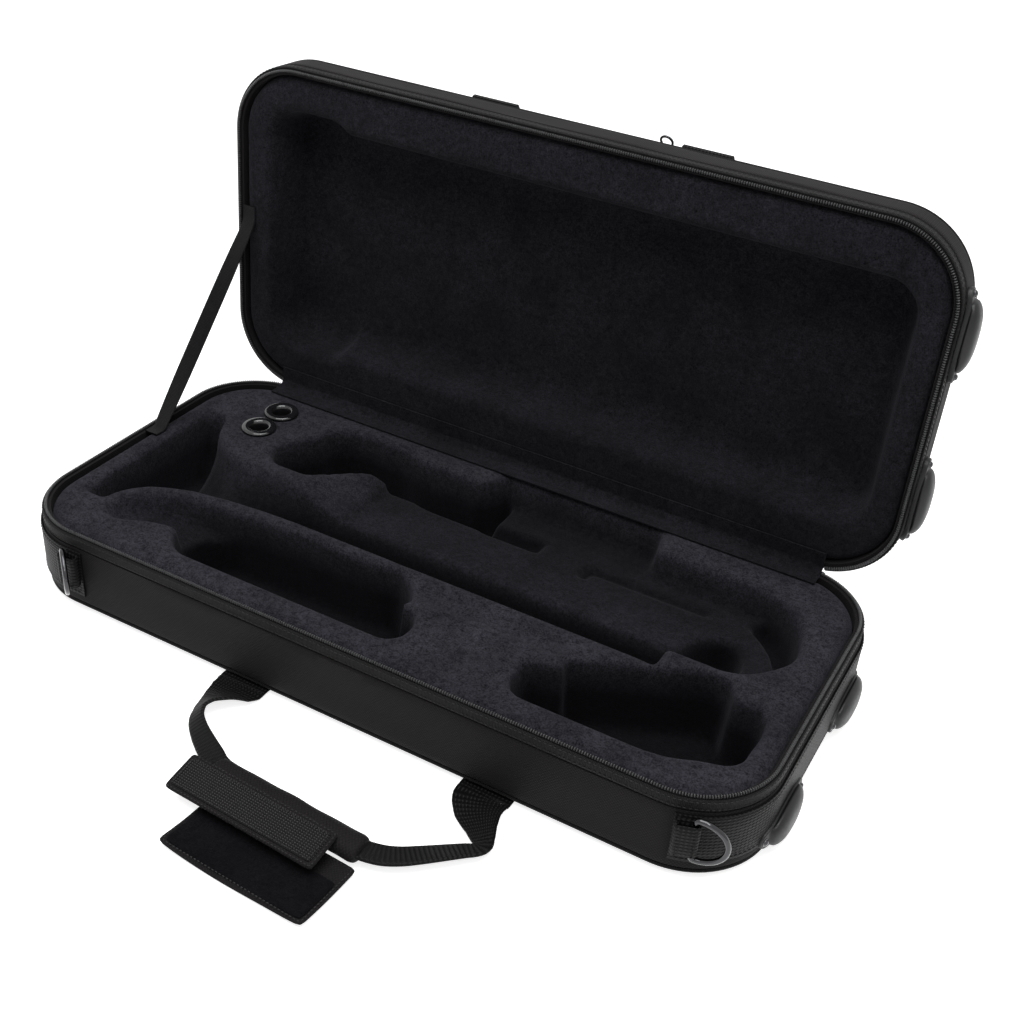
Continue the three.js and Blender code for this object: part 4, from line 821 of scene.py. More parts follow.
def stitched(name, lines, body, closed=False, move=None, pitch=None):
    """Rows of thread on a body, each stitch a little shorter than the pitch."""
    pitch = pitch or bpy.context.scene.case_sizes.stitch_pitch
    size = (pitch / MM * STITCH_SHARE, *STITCH_SECTION)
    thread = repeat_along(name, lines, pitch, size, "thread", closed, move)
    return finished(thread, body, "webbing")


# Places on the case's wall

def wall_place(side, around, lift):
    """The place and outward normal at a distance round from the middle of an end, side +1 or -1."""
    far = abs(around)
    sign = math.copysign(1, around)
    if far > STRAIGHT + ARC:
        place = Vector((HALF_LENGTH - CORNER - (far - STRAIGHT - ARC), HALF_WIDTH, 0))
        normal = Vector((0, 1, 0))
    elif far > STRAIGHT:
        angle = (far - STRAIGHT) / CORNER
        normal = Vector((math.cos(angle), math.sin(angle), 0))
        place = Vector((HALF_LENGTH - CORNER, STRAIGHT, 0)) + normal * CORNER
    else:
        place = Vector((HALF_LENGTH, far, 0))
        normal = Vector((1, 0, 0))
    place += normal * lift
    turned = Vector((side, sign, 1))
    return place * turned, normal * turned


def around_at(x):
    """How far round from the end's middle a place on the front is, from its x."""
    over = abs(x) - (HALF_LENGTH - CORNER)
    if over > 0:
        return -(STRAIGHT + ARC - CORNER * math.asin(over / CORNER))
    return -(STRAIGHT + ARC - over)


def wall_frame(side, around, lift, z):
    """A matrix in millimetres: x along the wall, y into it, z up."""
    place, normal = wall_place(side, around, lift)
    turn = math.atan2(normal.x, -normal.y)
    return Matrix.Translation((place.x, place.y, z)) @ Matrix.Rotation(turn, 4, "Z")


def outward_frame(side, around, lift, z):
    """A matrix in millimetres whose z points out of the wall."""
    return wall_frame(side, around, lift, z) @ Matrix.Rotation(math.pi / 2, 4, "X")


def looped(half_x, half_y, corner, place, z=0.0):
    """A rounded rectangle's line, placed."""
    points = [(-half_x, -half_y), (half_x, -half_y), (half_x, half_y), (-half_x, half_y)]
    return [place @ Vector((p[0], p[1], z)) for p in rounded_outline(points, corner)]


def crown_place(inset, lift):
    """A place on the front slope of the closed lid's crown, lifted off it, and its upward normal."""
    insets, heights = zip(*CROWN)
    i = max(k for k in range(len(CROWN) - 1) if k == 0 or insets[k] < inset)
    if inset > CROWN_RUN:
        slope = Vector((1, 0))
        height = heights[-1]
    else:
        slope = Vector((insets[i + 1] - insets[i], heights[i + 1] - heights[i])).normalized()
        height = heights[i] + (inset - insets[i]) * slope.y / slope.x
    up = Vector((0, -slope.y, slope.x))
    return -HALF_WIDTH + inset - slope.y * lift, ZIP_Z + height + slope.x * lift, up


CROWN = [
    (CROWN_RUN * run, LID_WALL + CROWN_RISE * rise)
    for run, rise in ((0.09, 0), (0.18, 0.22), (0.36, 0.5), (0.64, 0.8), (1, 1))
]
INNER_CROWN = [(6.5, 30.2), (14.5, 40.3), (28.5, 48.2), (46.5, 52.6)]


# Pieces

class CASE_OT_materials(bpy.types.Operator):
    """Makes the cloth, plush, webbing, zip and metal finishes."""

    bl_idname = "trumpet_case.materials"
    bl_label = "Materials"

    def execute(self, context):
        colours = context.scene.case_colours
        MATERIALS.update(
            nylon=nylon_material(colours, context.scene.case_sizes),
            # Base insert: the colour darkens from 62 mm down to 36 mm high, painted shade in the pockets.
            plush=plush_material(colours, "plush", 0.036, 0.062),
            # The lid's pile is the base's plush darkened to roughly half by the height ramp, a little
            # lighter higher up: painted shade for the less lit lid.
            lid_plush=plush_material(colours, "lid_plush", -0.2, 0.6),
            webbing=webbing_material(colours, "webbing", rib=0.0026),
            tape=webbing_material(colours, "zip_tape", rib=0.0009, gain=1.6),
            hook=webbing_material(colours, "hook_tape", rib=0.0017, slant=0.7, gain=2.6),
            piping=webbing_material(colours, "piping", rib=0.0012),
            # The coil's light colour is painted highlight on its turns.
            coil=smooth_material("zip_coil", colours.coil, 0.3),
            rubber=smooth_material("moulded_rubber", (0.011, 0.0112, 0.012), 0.42, bump=0.15, specular=0.3),
            metal=smooth_material("black_metal", colours.metal, 0.16, metallic=1.0, wear=0.04, coat=0.6),
            gloss=smooth_material("gloss_plastic", (0.008, 0.008, 0.009), 0.14, wear=0.03, coat=0.3),
            # The loop pile takes the plush's height ramp, which darkens it to under a fifth so near the
            # floor: painted shade.
            loop=plush_material(colours, "loop_tape", 0.0, 0.1),
            thread=smooth_material("thread", (0.02, 0.0195, 0.02), 0.6, specular=0.2),
        )
        return {"FINISHED"}


def zip_half(half, low, high, tooth_low, move=None):
    """One half of the zip: its tape between two heights, and its coil on a cord."""
    tape = rim_strip(f"{half}_zip_cloth", [
        (0.8, low), (0.4, low + 0.5), (0.4, (low + high) / 2), (0.4, high - 0.5), (0.8, high),
        (1.9, high), (1.9, low),
    ], "tape", move=move)
    finished(tape, half, "webbing", f"{half}_zip_tape")
    bed = tooth_low + (0.0 if half == "base" else 2.1)
    section = [(2.4, bed), (4.2, bed), (4.2, bed + 0.7), (2.4, bed + 0.7)]
    cord = rim_strip(f"{half}_zip_cord", section, "tape", move=move)
    finished(cord, half, "webbing")
    pitch = bpy.context.scene.case_sizes.zip_pitch
    line = rim_line(3.3, tooth_low + 1.4)
    coil = repeat_along(f"{half}_zip_coil", [line], pitch, (0.95, 2.6, 2.8), "coil", move=move)
    finished(coil, half, "zip_teeth", f"{half}_zip_teeth")
    seams = [rim_line(0.3, low + 1.6), rim_line(0.3, high - 1.4)]
    stitched(f"{half}_zip_stitches", seams, half, move=move)


def piped(half, node, z, move=None):
    """Round piping in the seam between a shell's wall and its flat."""
    line = rim_line(PIPING_INSET, z, closed=True)
    piping = rod(
        f"{half}_piping", line, (PIPING_RADIUS, PIPING_RADIUS), "piping", (0, 0, 1),
        closed=True, sides=12, move=move,
    )
    finished(piping, half, "piping", node)


class CASE_OT_base_shell(bpy.types.Operator):
    """Sews the nylon base, its piping and its half of the zip."""

    bl_idname = "trumpet_case.base_shell"
    bl_label = "Base shell and zip"

    def execute(self, context):
        profile = [
            (40, 0), (32, 0.35), (24, 0.84), (18, 1.5), (12, 2.39), (7.5, 3.35), (4.6, 4.05), (3.6, 4.5),
            (3.6, 7.8), (3.0, 8.2), (1.2, 8.35), (0.35, 8.8), (0, 9.8),
        ]
        profile += [(0, z) for z in range(14, 54, 5)]
        profile += [
            (0, 54.8), (0.3, 55.7), (1.0, 56.2), (LEDGE, 56.4), (LEDGE, SHELL_TOP),
            (SHELL_WALL, SHELL_TOP), (SHELL_WALL, 4.3),
        ]
        shell = round_pan("base_shell_cloth", profile, "nylon", slack=0.45)
        finished(shell, "base", "nylon", "base_shell")
        piped("base", "base_bottom_piping", 6.15)
        zip_half("base", TAPE_LOW + 0.3, 65.3, 64.9)
        return {"FINISHED"}


def in_plan(shares, radius):
    """An outline of shares of the zip's plan, in millimetres with rounded corners."""
    line = rounded_outline([(x * ZIP_LENGTH, y * ZIP_WIDTH) for x, y in shares], radius, steps=5)
    return [(p.x, p.y) for p in line]


PLATEAU = [
    (-0.475, -0.05), (-0.475, 0.75), (-0.35, 0.797), (-0.28, 0.752), (-0.21, 0.737), (-0.088, 0.737),
    (-0.042, 0.893), (0.428, 0.893), (0.449, 0.702), (0.75, 0.7), (0.82, 0.635), (0.866, 0.53),
    (0.89, 0.41), (0.902, 0.275), (0.895, 0.18), (0.863, 0.076), (0.82, -0.02), (0.77, -0.05),
]
VALVE_POCKET = [
    (-0.575, 0.7), (-0.553, 0.76), (-0.526, 0.79), (-0.456, 0.809), (-0.35, 0.797), (-0.28, 0.752),
    (-0.21, 0.737), (-0.088, 0.737), (-0.042, 0.893), (-0.012, 0.893), (-0.008, 0.6), (-0.02, 0.535),
    (-0.19, 0.54), (-0.25, 0.572), (-0.39, 0.565), (-0.43, 0.45), (-0.465, 0.32), (-0.495, 0.237),
    (-0.604, 0.237), (-0.635, 0.29), (-0.65, 0.366), (-0.638, 0.46), (-0.612, 0.53), (-0.583, 0.6),
]
FRONT_POCKET = [
    (-0.617, -0.611), (-0.589, -0.725), (-0.544, -0.782), (0.063, -0.782), (0.091, -0.718),
    (0.091, -0.588), (0.06, -0.508), (0.02, -0.503), (0.039, -0.435), (0, -0.328), (-0.053, -0.252),
    (-0.105, -0.282), (-0.42, -0.298), (-0.526, -0.328), (-0.579, -0.397), (-0.61, -0.489),
]
LOBE = [
    (-0.45, -0.32), (-0.632, -0.336), (-0.702, -0.374), (-0.779, -0.458), (-0.821, -0.573),
    (-0.814, -0.672), (-0.793, -0.733), (-0.744, -0.702), (-0.695, -0.641), (-0.632, -0.611),
    (-0.56, -0.62), (-0.45, -0.6),
]
MUTE_POCKET = [
    (0.463, -0.504), (0.453, -0.412), (0.526, -0.336), (0.632, -0.229), (0.719, -0.135),
    (0.772, -0.092), (0.804, -0.107), (0.821, -0.168), (0.832, -0.237), (0.895, -0.229),
    (0.919, -0.275), (0.925, -0.366), (0.921, -0.611), (0.898, -0.672), (0.842, -0.706),
    (0.779, -0.767), (0.719, -0.786), (0.414, -0.786), (0.384, -0.74), (0.375, -0.656),
    (0.377, -0.565), (0.393, -0.511),
]
BOW_POCKET = [
    (0.63, 0.02), (0.66, -0.01), (0.72, -0.03), (0.765, 0.02), (0.79, 0.1), (0.785, 0.22),
    (0.76, 0.32), (0.72, 0.35), (0.68, 0.3), (0.65, 0.2),
]
BOW_GROOVE = [
    (0.77, 0.66), (0.82, 0.62), (0.866, 0.52), (0.89, 0.4), (0.899, 0.275), (0.885, 0.2),
    (0.855, 0.27), (0.83, 0.38), (0.79, 0.48), (0.745, 0.56),
]
CASING_SLOT = [(-0.02, 0.51), (0.151, 0.51), (0.151, 0.635), (-0.02, 0.635)]
SLIDE_GROOVE = [(0.285, 0.43), (0.318, 0.43), (0.318, 0.5), (0.64, 0.5), (0.64, 0.56), (0.285, 0.56)]
FRONT_DIP = [(0.05, -0.435), (0.45, -0.435), (0.42, -0.29), (0.02, -0.29)]
BELL_PROFILE = [
    (-0.923, 1), (-0.86, 1), (-0.85, 0.8), (-0.83, 0.6), (-0.8, 0.43), (-0.755, 0.3), (-0.69, 0.17),
    (-0.58, 0.07), (-0.45, 0),
]
BELL_Y = -0.065 * ZIP_WIDTH
BELL_RIM = 71.5
BELL_THROAT = 18.0
CHANNEL_HALF = 17.5
CHANNEL_DEPTH = 40.0
CHANNEL_END = 0.63 * ZIP_LENGTH
LINING_TOP = ZIP_Z - LINING_RECESS
POCKET_FLOOR = 10.3
FULL_DEPTH = LINING_TOP - POCKET_FLOOR
HOLDERS = [(-0.747 * ZIP_LENGTH, share * ZIP_WIDTH) for share in (0.478, 0.706)]


def insert_face(x, y):
    """The top of the base's moulding: every pocket sunk in turn."""
    sink = np.zeros(x.shape)

    def cut(distance, depth, **edges):
        nonlocal sink
        sink = sink + sunk(distance, np.maximum(depth - sink, 0), **edges)

    def pocket(shares, radius, depth, **edges):
        cut(inside_by(in_plan(shares, radius), x, y), depth, **edges)

    ramp_from, ramp_to = -0.475 * ZIP_LENGTH, -0.33 * ZIP_LENGTH
    slope = 15 * np.clip((x - ramp_from) / (ramp_to - ramp_from), 0, 1)
    tilt = 15 + 10 * np.clip(y / (0.75 * ZIP_WIDTH), 0, 1)
    pocket(PLATEAU, 5, np.where(x < ramp_to, slope, tilt), lip=4)
    across = np.abs(y - BELL_Y)
    places = [share * ZIP_LENGTH for share, _ in BELL_PROFILE]
    radii = [BELL_THROAT + (BELL_RIM - BELL_THROAT) * share for _, share in BELL_PROFILE]
    radius = np.interp(x, places, radii)
    bed = np.clip(np.sqrt(np.maximum(radius ** 2 - across ** 2, 0)) - 2, 9, FULL_DEPTH)
    within = np.minimum(np.minimum(radius - across, x - places[0]), places[-1] - x)
    cut(within, bed)
    share = np.clip((x - places[4]) / (places[-1] + 12 - places[4]), 0, 1)
    half = CHANNEL_HALF * (0.9 + 0.1 * share)
    round_part = np.sqrt(np.maximum(half ** 2 - across ** 2, 0))
    throat = CHANNEL_DEPTH * np.sqrt(share) - CHANNEL_HALF * share + share * round_part
    within = np.minimum(np.minimum(half - across, x - places[4]), places[-1] + 12 - x)
    cut(within, throat, lip=4)
    gutter = CHANNEL_DEPTH - CHANNEL_HALF + np.sqrt(np.maximum(CHANNEL_HALF ** 2 - across ** 2, 0))
    within = np.minimum(np.minimum(CHANNEL_HALF - across, CHANNEL_END - x), x - places[-1])
    cut(within, gutter, lip=4)
    pocket(VALVE_POCKET, 5, FULL_DEPTH)
    pocket(FRONT_POCKET, 7, FULL_DEPTH)
    lobe_from, lobe_to = LOBE[4][0] * ZIP_LENGTH, LOBE[0][0] * ZIP_LENGTH
    lobe = 10 + 24 * np.clip((x - lobe_from) / (lobe_to - lobe_from), 0, 1)
    pocket(LOBE, 7, lobe)
    pocket(MUTE_POCKET, 5, FULL_DEPTH)
    pocket(BOW_POCKET, 7, 44)
    pocket(BOW_GROOVE, 5, 38)
    pocket(CASING_SLOT, 2.5, 33, lip=3)
    pocket(SLIDE_GROOVE, 2.5, 27, lip=3)
    pocket(FRONT_DIP, 5, 2.5)
    for centre_x, centre_y in HOLDERS:
        cut(11.3 - np.hypot(x - centre_x, y - centre_y), 30, lip=0.8, run=1.0, foot=1.0)
    return np.maximum(LINING_TOP - edge_drop(wall_inset(x, y)) - sink, POCKET_FLOOR)


class CASE_OT_insert(bpy.types.Operator):
    """Moulds the base's plush insert with its pockets."""

    bl_idname = "trumpet_case.insert"
    bl_label = "Base insert"

    def execute(self, context):
        sizes = context.scene.case_sizes
        insert = moulded(
            "base_insert_plush", insert_face, lambda x, y: np.full(x.shape, 4.6),
            "plush", sizes.lining_grain, sizes.softening,
        )
        finished(insert, "base", "plush", "base_insert")
        return {"FINISHED"}


class CASE_OT_holders(bpy.types.Operator):
    """Turns the two flanged mouthpiece holders."""

    bl_idname = "trumpet_case.holders"
    bl_label = "Mouthpiece holders"

    def execute(self, context):
        bottom = LINING_TOP - 30
        top = LINING_TOP + 2.9
        profile = [
            (10.3, bottom), (10.5, bottom + 0.4), (10.5, top - 2.7), (13.4, top - 2.6), (14, top - 2.1),
            (14, top - 1.2), (13.6, top - 0.45), (12.8, top), (9.4, top), (8.3, top - 0.4),
            (7.5, top - 1.4), (7.1, top - 6), (6.3, bottom + 1.6), (5.8, bottom + 1.2),
        ]
        for where, (x, y) in zip(("front", "rear"), HOLDERS):
            place = Matrix.Translation((x, y, 0))
            cup = turned_piece(f"{where}_holder_cup", profile, place, "gloss")
            finished(cup, "base", "gloss_plastic", f"{where}_mouthpiece_holder")
        return {"FINISHED"}


FRONT_TABS = (("right", 1, 250, 12), ("left", -1, -226, 41))
BAND_END = 120.0
TAB_HALF_LENGTH = 7.5
TAB_DEPTH = 5.9
TAB_SIDE = [(0.75, -11.7), (0.75, -5), (0.75, 5), (0.75, 11.7), (0.4, 12.2), (-0.4, 12.2)]
TAB_SECTION = TAB_SIDE + [(-out, -z) for out, z in TAB_SIDE]
RING_BAR = (4.55, -3.7)
RING_WIRE = 1.9
RING_HALF_HEIGHT = 16.0
RING_BEND = 2.5
RING_REACH = 18.5
RING_CORNER = [(0.35, 0, 14.7), (1.15, 0, 15.6)]


class CASE_OT_end_bands(bpy.types.Operator):
    """Sews the webbing band round each end, with its folded tab and D-ring."""

    bl_idname = "trumpet_case.end_bands"
    bl_label = "End bands and D-rings"

    def execute(self, context):
        for name, side, x, swing in FRONT_TABS:
            start = around_at(x) - TAB_HALF_LENGTH - WEBBING_THICK / 2
            spots = [wall_place(side, start + (BAND_END - start) * i / 110, 0) for i in range(111)]
            half = WEBBING / 2
            section = [
                (0.3, -half + 0.4), (0.7, -half), (1.5, -half), (1.8, -half + 0.5), (1.8, -half / 3),
                (1.8, half / 3), (1.8, half - 0.5), (1.5, half), (0.7, half), (0.3, half - 0.4),
            ]
            band = strip(f"{name}_band_webbing", [
                [place + normal * lift + Vector((0, 0, BAND_Z + z)) for lift, z in section]
                for place, normal in spots
            ], "webbing")
            finished(band, "base", "webbing", f"{name}_end_band")
            seams = [
                [place + normal * 1.85 + Vector((0, 0, BAND_Z + z)) for place, normal in spots[2:-2]]
                for z in (-half + 2.6, half - 2.6)
            ]
            stitched(f"{name}_band_stitches", seams, "base")
            frame_at = wall_frame(side, around_at(x), 2.1, BAND_Z + 5)
            near, far = -WEBBING_THICK / 2, -WEBBING_THICK / 2 - TAB_DEPTH
            ends = [(-TAB_HALF_LENGTH, near), (TAB_HALF_LENGTH, near)]
            ends += [(TAB_HALF_LENGTH, far), (-TAB_HALF_LENGTH, far)]
            loop = rounded_outline(ends, 2.9, 7)
            sections = []
            for i, spot in enumerate(loop):
                along = heading(loop, i, closed=True)
                out = Vector((along.y, -along.x))
                sections.append([
                    frame_at @ Vector((spot.x + out.x * a, spot.y + out.y * a, z))
                    for a, z in TAB_SECTION
                ])
            tab = strip(f"{name}_tab_webbing", sections, "webbing", closed=True)
            finished(tab, "base", "webbing", f"{name}_ring_tab")
            outer = [
                [frame_at @ Vector((along, -7.45, up)) for up in np.linspace(-11.4, 11.4, 12)]
                for along in (-5.2, 5.2)
            ]
            stitched(f"{name}_tab_stitches", outer, "base", pitch=SHORT_STITCH)
            swung = (
                frame_at @ Matrix.Translation((side * RING_BAR[0], RING_BAR[1], 0))
                @ Matrix.Rotation(-math.radians(swing), 4, "Z")
            )
            wire = [(0, 0, z) for z in (-13.4, -7, 0, 7, 13.4)] + RING_CORNER
            for i in range(25):
                angle = math.pi / 2 - math.pi * i / 24
                reach = RING_BEND + RING_REACH * math.cos(angle)
                wire.append((reach, 0, RING_HALF_HEIGHT * math.sin(angle)))
            wire += [(x, y, -z) for x, y, z in reversed(RING_CORNER)]
            line = [swung @ Vector(p) for p in wire]
            up = swung.to_3x3() @ Vector((0, 1, 0))
            ring = rod(
                f"{name}_ring_wire", line, (RING_WIRE, RING_WIRE), "metal", up,
                closed=True, sides=18,
            )
            finished(ring, f"{name}_ring", "black_metal", f"{name}_d_ring")
        return {"FINISHED"}


FOOT_STEPS = [
    (1.0, 0.80, 0.0), (1.0, 0.80, 2.5), (0.99, 0.79, 3.0), (0.97, 0.78, 3.2), (0.83, 0.84, 3.25),
    (0.78, 0.92, 3.4), (0.765, 0.965, 3.8), (0.75, 1.0, 4.6), (0.735, 0.985, 5.6), (0.70, 0.94, 6.6),
    (0.65, 0.88, 7.6), (0.58, 0.79, 8.6), (0.49, 0.68, 9.5), (0.38, 0.54, 10.1), (0.26, 0.38, 10.5),
    (0.14, 0.22, 10.7), (0.05, 0.08, 10.8),
]
FOOT_MIDDLE = 62.0
FOOT_HALF_LENGTH = 33.0
FOOT_HALF_WIDTH = 12.0
FOOT_Z = 18.0
FOOT_SQUARENESS = 0.75
FOOT_SIDES = 56
RIVET_SHARE = 0.875
RIVET_LIFT = 3.1
RIVET_PROFILE = [
    (2.9, 0), (2.9, 0.35), (2.6, 0.55), (2.3, 0.6), (2.2, 1.0), (1.7, 1.7), (0.9, 2.1), (0.2, 2.2),
]


class CASE_OT_feet(bpy.types.Operator):
    """Moulds the four rubber feet on the right end, with their rivets."""

    bl_idname = "trumpet_case.feet"
    bl_label = "Feet"

    def execute(self, context):
        for half, z, move in (("base", FOOT_Z, None), ("lid", ZIP_Z + FOOT_Z, OPENED)):
            for where, sign in (("front", -1), ("rear", 1)):
                rings = []
                for a, b, lift in FOOT_STEPS:
                    ring = []
                    for c, s in (squared(angle, FOOT_SQUARENESS) for angle in turned_round(FOOT_SIDES)):
                        place, _ = wall_place(1, sign * FOOT_MIDDLE + FOOT_HALF_LENGTH * a * c, lift)
                        ring.append((place.x, place.y, z + FOOT_HALF_WIDTH * b * s))
                    rings.append(ring)
                name = f"{half}_{where}"
                foot = stacked(f"{name}_foot_rubber", rings, "rubber", angle=50, move=move)
                finished(foot, half, "rubber", f"{name}_foot")
                for which, end in (("outer", sign), ("inner", -sign)):
                    along = sign * FOOT_MIDDLE + end * FOOT_HALF_LENGTH * RIVET_SHARE
                    head = turned_piece(
                        f"{name}_{which}_rivet_head", RIVET_PROFILE, outward_frame(1, along, RIVET_LIFT, z),
                        "metal", steps=28, move=move,
                    )
                    finished(head, half, "black_metal", f"{name}_foot_{which}_rivet")
        return {"FINISHED"}


END_SIDE = [(-1, 0, 0), (-0.87, 0.2, 0.02), (-0.72, 0.7, 0.5), (-0.5, 0.93, 0.83), (-0.25, 0.99, 0.98)]
END_SHARES = END_SIDE + [(0, 1, 1)] + [(-along, out, drop) for along, out, drop in reversed(END_SIDE)]
END_X = -HALF_LENGTH - 2.85
END_Z = 38.5
END_HALF_SPAN = 66.0
END_REACH = 18.0
END_DROP = 18.0
END_WIDTH = 25.0
END_GRIP_HALF = 36.0
END_GRIP_SIZE = (12.5, 7.0)
END_BOX = ((70, -9), (85.5, -9), (85.5, 9), (70, 9), (70, -9), (85.5, 9), (85.5, -9), (70, 9))


class CASE_OT_end_handle(bpy.types.Operator):
    """Sews the handle on the left end and moulds its grip."""

    bl_idname = "trumpet_case.end_handle"
    bl_label = "Left end handle"

    def execute(self, context):
        stations = []
        for along, out, drop in END_SHARES:
            spot = (END_X - END_REACH * out, END_HALF_SPAN * along, END_Z - END_DROP * drop)
            stations.append((spot, END_WIDTH * (1 - 0.25 * out), WEBBING_THICK, (-1, 0, 0.35 * drop)))
        web = strap("left_end_webbing", stations, "webbing")
        finished(web, "base", "webbing", "left_end_handle")
        line = [p for p in smooth_line([s[0] for s in stations], 1.5) if abs(p.y) <= END_GRIP_HALF]
        sizes = []
        wide, high = END_GRIP_SIZE
        for p in line:
            inward = (END_GRIP_HALF - abs(p.y)) / 6
            full = math.sqrt(1 - (1 - min(inward + 0.12, 1)) ** 2)
            groove = 0.25 * math.exp(-(((abs(p.y) - 29) / 1.1) ** 2))
            sizes.append(((wide - groove) * (0.55 + 0.45 * full), (high - groove) * (0.5 + 0.5 * full)))
        grip = rod("left_end_rubber", line, sizes, "rubber", (-1, 0, 0.35), sides=32, square=0.85)
        finished(grip, "base", "rubber", "left_end_grip")
        for where, sign in (("front", -1), ("rear", 1)):
            ends = []
            for reach in np.linspace(67.6, 87.6, 9):
                place, _ = wall_place(-1, reach, 0)
                rise = max(place.x + HALF_LENGTH, 0)
                ends.append(((END_X + rise, sign * reach, END_Z), END_WIDTH, WEBBING_THICK, (-1, 0, 0)))
            root = strap(f"left_end_{where}_patch", ends, "webbing")
            finished(root, "base", "webbing", f"left_end_{where}_root")
            box = []
            for a, b in END_BOX:
                place, _ = wall_place(-1, a, 0)
                box.append((END_X + max(place.x + HALF_LENGTH, 0) - 0.8, sign * a, END_Z + b))
            stitched(f"left_end_{where}_stitches", [box], "base", pitch=SHORT_STITCH)
        return {"FINISHED"}


HANDLE_X = 21.5
HANDLE_SPAN = 96.5
HANDLE_REACH = 82.0
HANDLE_Y = -HALF_WIDTH - 3
HANDLE_Z = 2.2
HANDLE_LIFT = 8.0
# Shares of the span, the reach, the lift, the width and the thickness, and the tilt in degrees
HANDLE_STEPS = [
    (-1, 0, 0, 1, 1, 0), (-1, -0.05, 0, 1, 1, 0), (-1.01, -0.14, 0.2, 0.93, 1, 5),
    (-1.03, -0.27, 0.6, 0.7, 1.3, 20), (-1.045, -0.385, 0.78, 0.48, 1.7, 35),
    (-1.035, -0.49, 0.9, 0.36, 1.9, 45), (-0.985, -0.6, 0.95, 0.34, 1.9, 40),
    (-0.89, -0.7, 0.95, 0.36, 1.9, 30), (-0.78, -0.785, 0.95, 0.39, 1.8, 18),
    (-0.67, -0.86, 0.97, 0.42, 1.8, 8), (-0.56, -0.925, 1, 0.42, 1.8, 0), (-0.3, -0.99, 1, 0.42, 1.8, 0),
    (0.4, -1.04, 1, 0.42, 1.8, 0), (0.6, -1.045, 1, 0.42, 1.8, 0), (0.75, -1.01, 0.98, 0.42, 1.8, 0),
    (0.86, -0.94, 0.94, 0.42, 1.8, -4), (0.955, -0.845, 0.86, 0.42, 1.8, -8),
    (1.05, -0.74, 0.76, 0.41, 1.8, -12), (1.16, -0.615, 0.62, 0.38, 1.8, -15),
    (1.21, -0.565, 0.56, 0.35, 1.8, -16), (1.235, -0.51, 0.5, 0.34, 1.8, -16),
    (1.22, -0.45, 0.42, 0.36, 1.7, -14), (1.15, -0.34, 0.28, 0.52, 1.4, -10), (1.06, -0.2, 0.08, 0.8, 1, -4),
    (1.02, -0.11, 0.02, 0.93, 1, 0), (1, -0.04, 0, 1, 1, 0), (1, 0, 0, 1, 1, 0),
]
ROOT_PATH = ((-136.7, 2.2), (-134, 2.2), (-132.4, 2.2), (-128, 1.8), (-123, 1.3))


class CASE_OT_carry_handle(bpy.types.Operator):
    """Sews the front handle's webbing and its two roots under the case."""

    bl_idname = "trumpet_case.carry_handle"
    bl_label = "Carry handle"

    def execute(self, context):
        spots = [
            Vector((HANDLE_X + HANDLE_SPAN * x, HANDLE_Y + HANDLE_REACH * y, HANDLE_Z + HANDLE_LIFT * z))
            for x, y, z, *_ in HANDLE_STEPS
        ]
        stations = []
        for i, (spot, (*_, wide, thick, tilt)) in enumerate(zip(spots, HANDLE_STEPS)):
            up = Matrix.Rotation(math.radians(tilt), 3, heading(spots, i)) @ Vector((0, 0, 1))
            stations.append((spot, WEBBING * wide, WEBBING_THICK * thick, up))
        web = strap("handle_strap", stations, "webbing", step=2)
        finished(web, "carry_handle", "webbing", "handle_webbing")
        for where, side in (("left", -1), ("right", 1)):
            x = HANDLE_X + side * HANDLE_SPAN
            stations = [((x, y, z), WEBBING, WEBBING_THICK, (0, 0, 1)) for y, z in ROOT_PATH]
            root = strap(f"handle_{where}_patch", stations, "webbing")
            finished(root, "base", "webbing", f"handle_{where}_root")
        return {"FINISHED"}


GRIP_PLACE = Matrix.Translation((
    HANDLE_X + HANDLE_SPAN * 0.055, HANDLE_Y - HANDLE_REACH * 1.015, HANDLE_Z + HANDLE_LIFT,
)) @ Matrix.Rotation(GRIP_TURN, 4, "Z")
WRAP_FROM = -60.0
WRAP_TO = 57.0
WRAP_SIZE = (9.9, 6.9)
WRAP_SIDES = 48
WRAP_SQUARENESS = 0.9
LOWER_HALF = (55.0, 25.75)
UPPER_HALF = (58.0, 14.0)
FLAP_STITCH = 0.0028


def creased(x, y):
    """How far the lower flap's cloth lifts and curls from its fold to its free edge."""
    far = np.clip((LOWER_HALF[1] - y) / (2 * LOWER_HALF[1]), 0, 1) ** 2
    corner = np.clip(np.abs(x) / LOWER_HALF[0], 0, 1) ** 6 * far
    return far * (0.9 + 0.9 * np.sin(x / 15 + y / 26)) + 3.2 * corner


def bowed(x, y):
    """How far the upper flap's cloth arches over the wrap."""
    return 0.5 * np.cos(x / 37) * np.clip((UPPER_HALF[1] - y) / (2 * UPPER_HALF[1]), 0, 1)


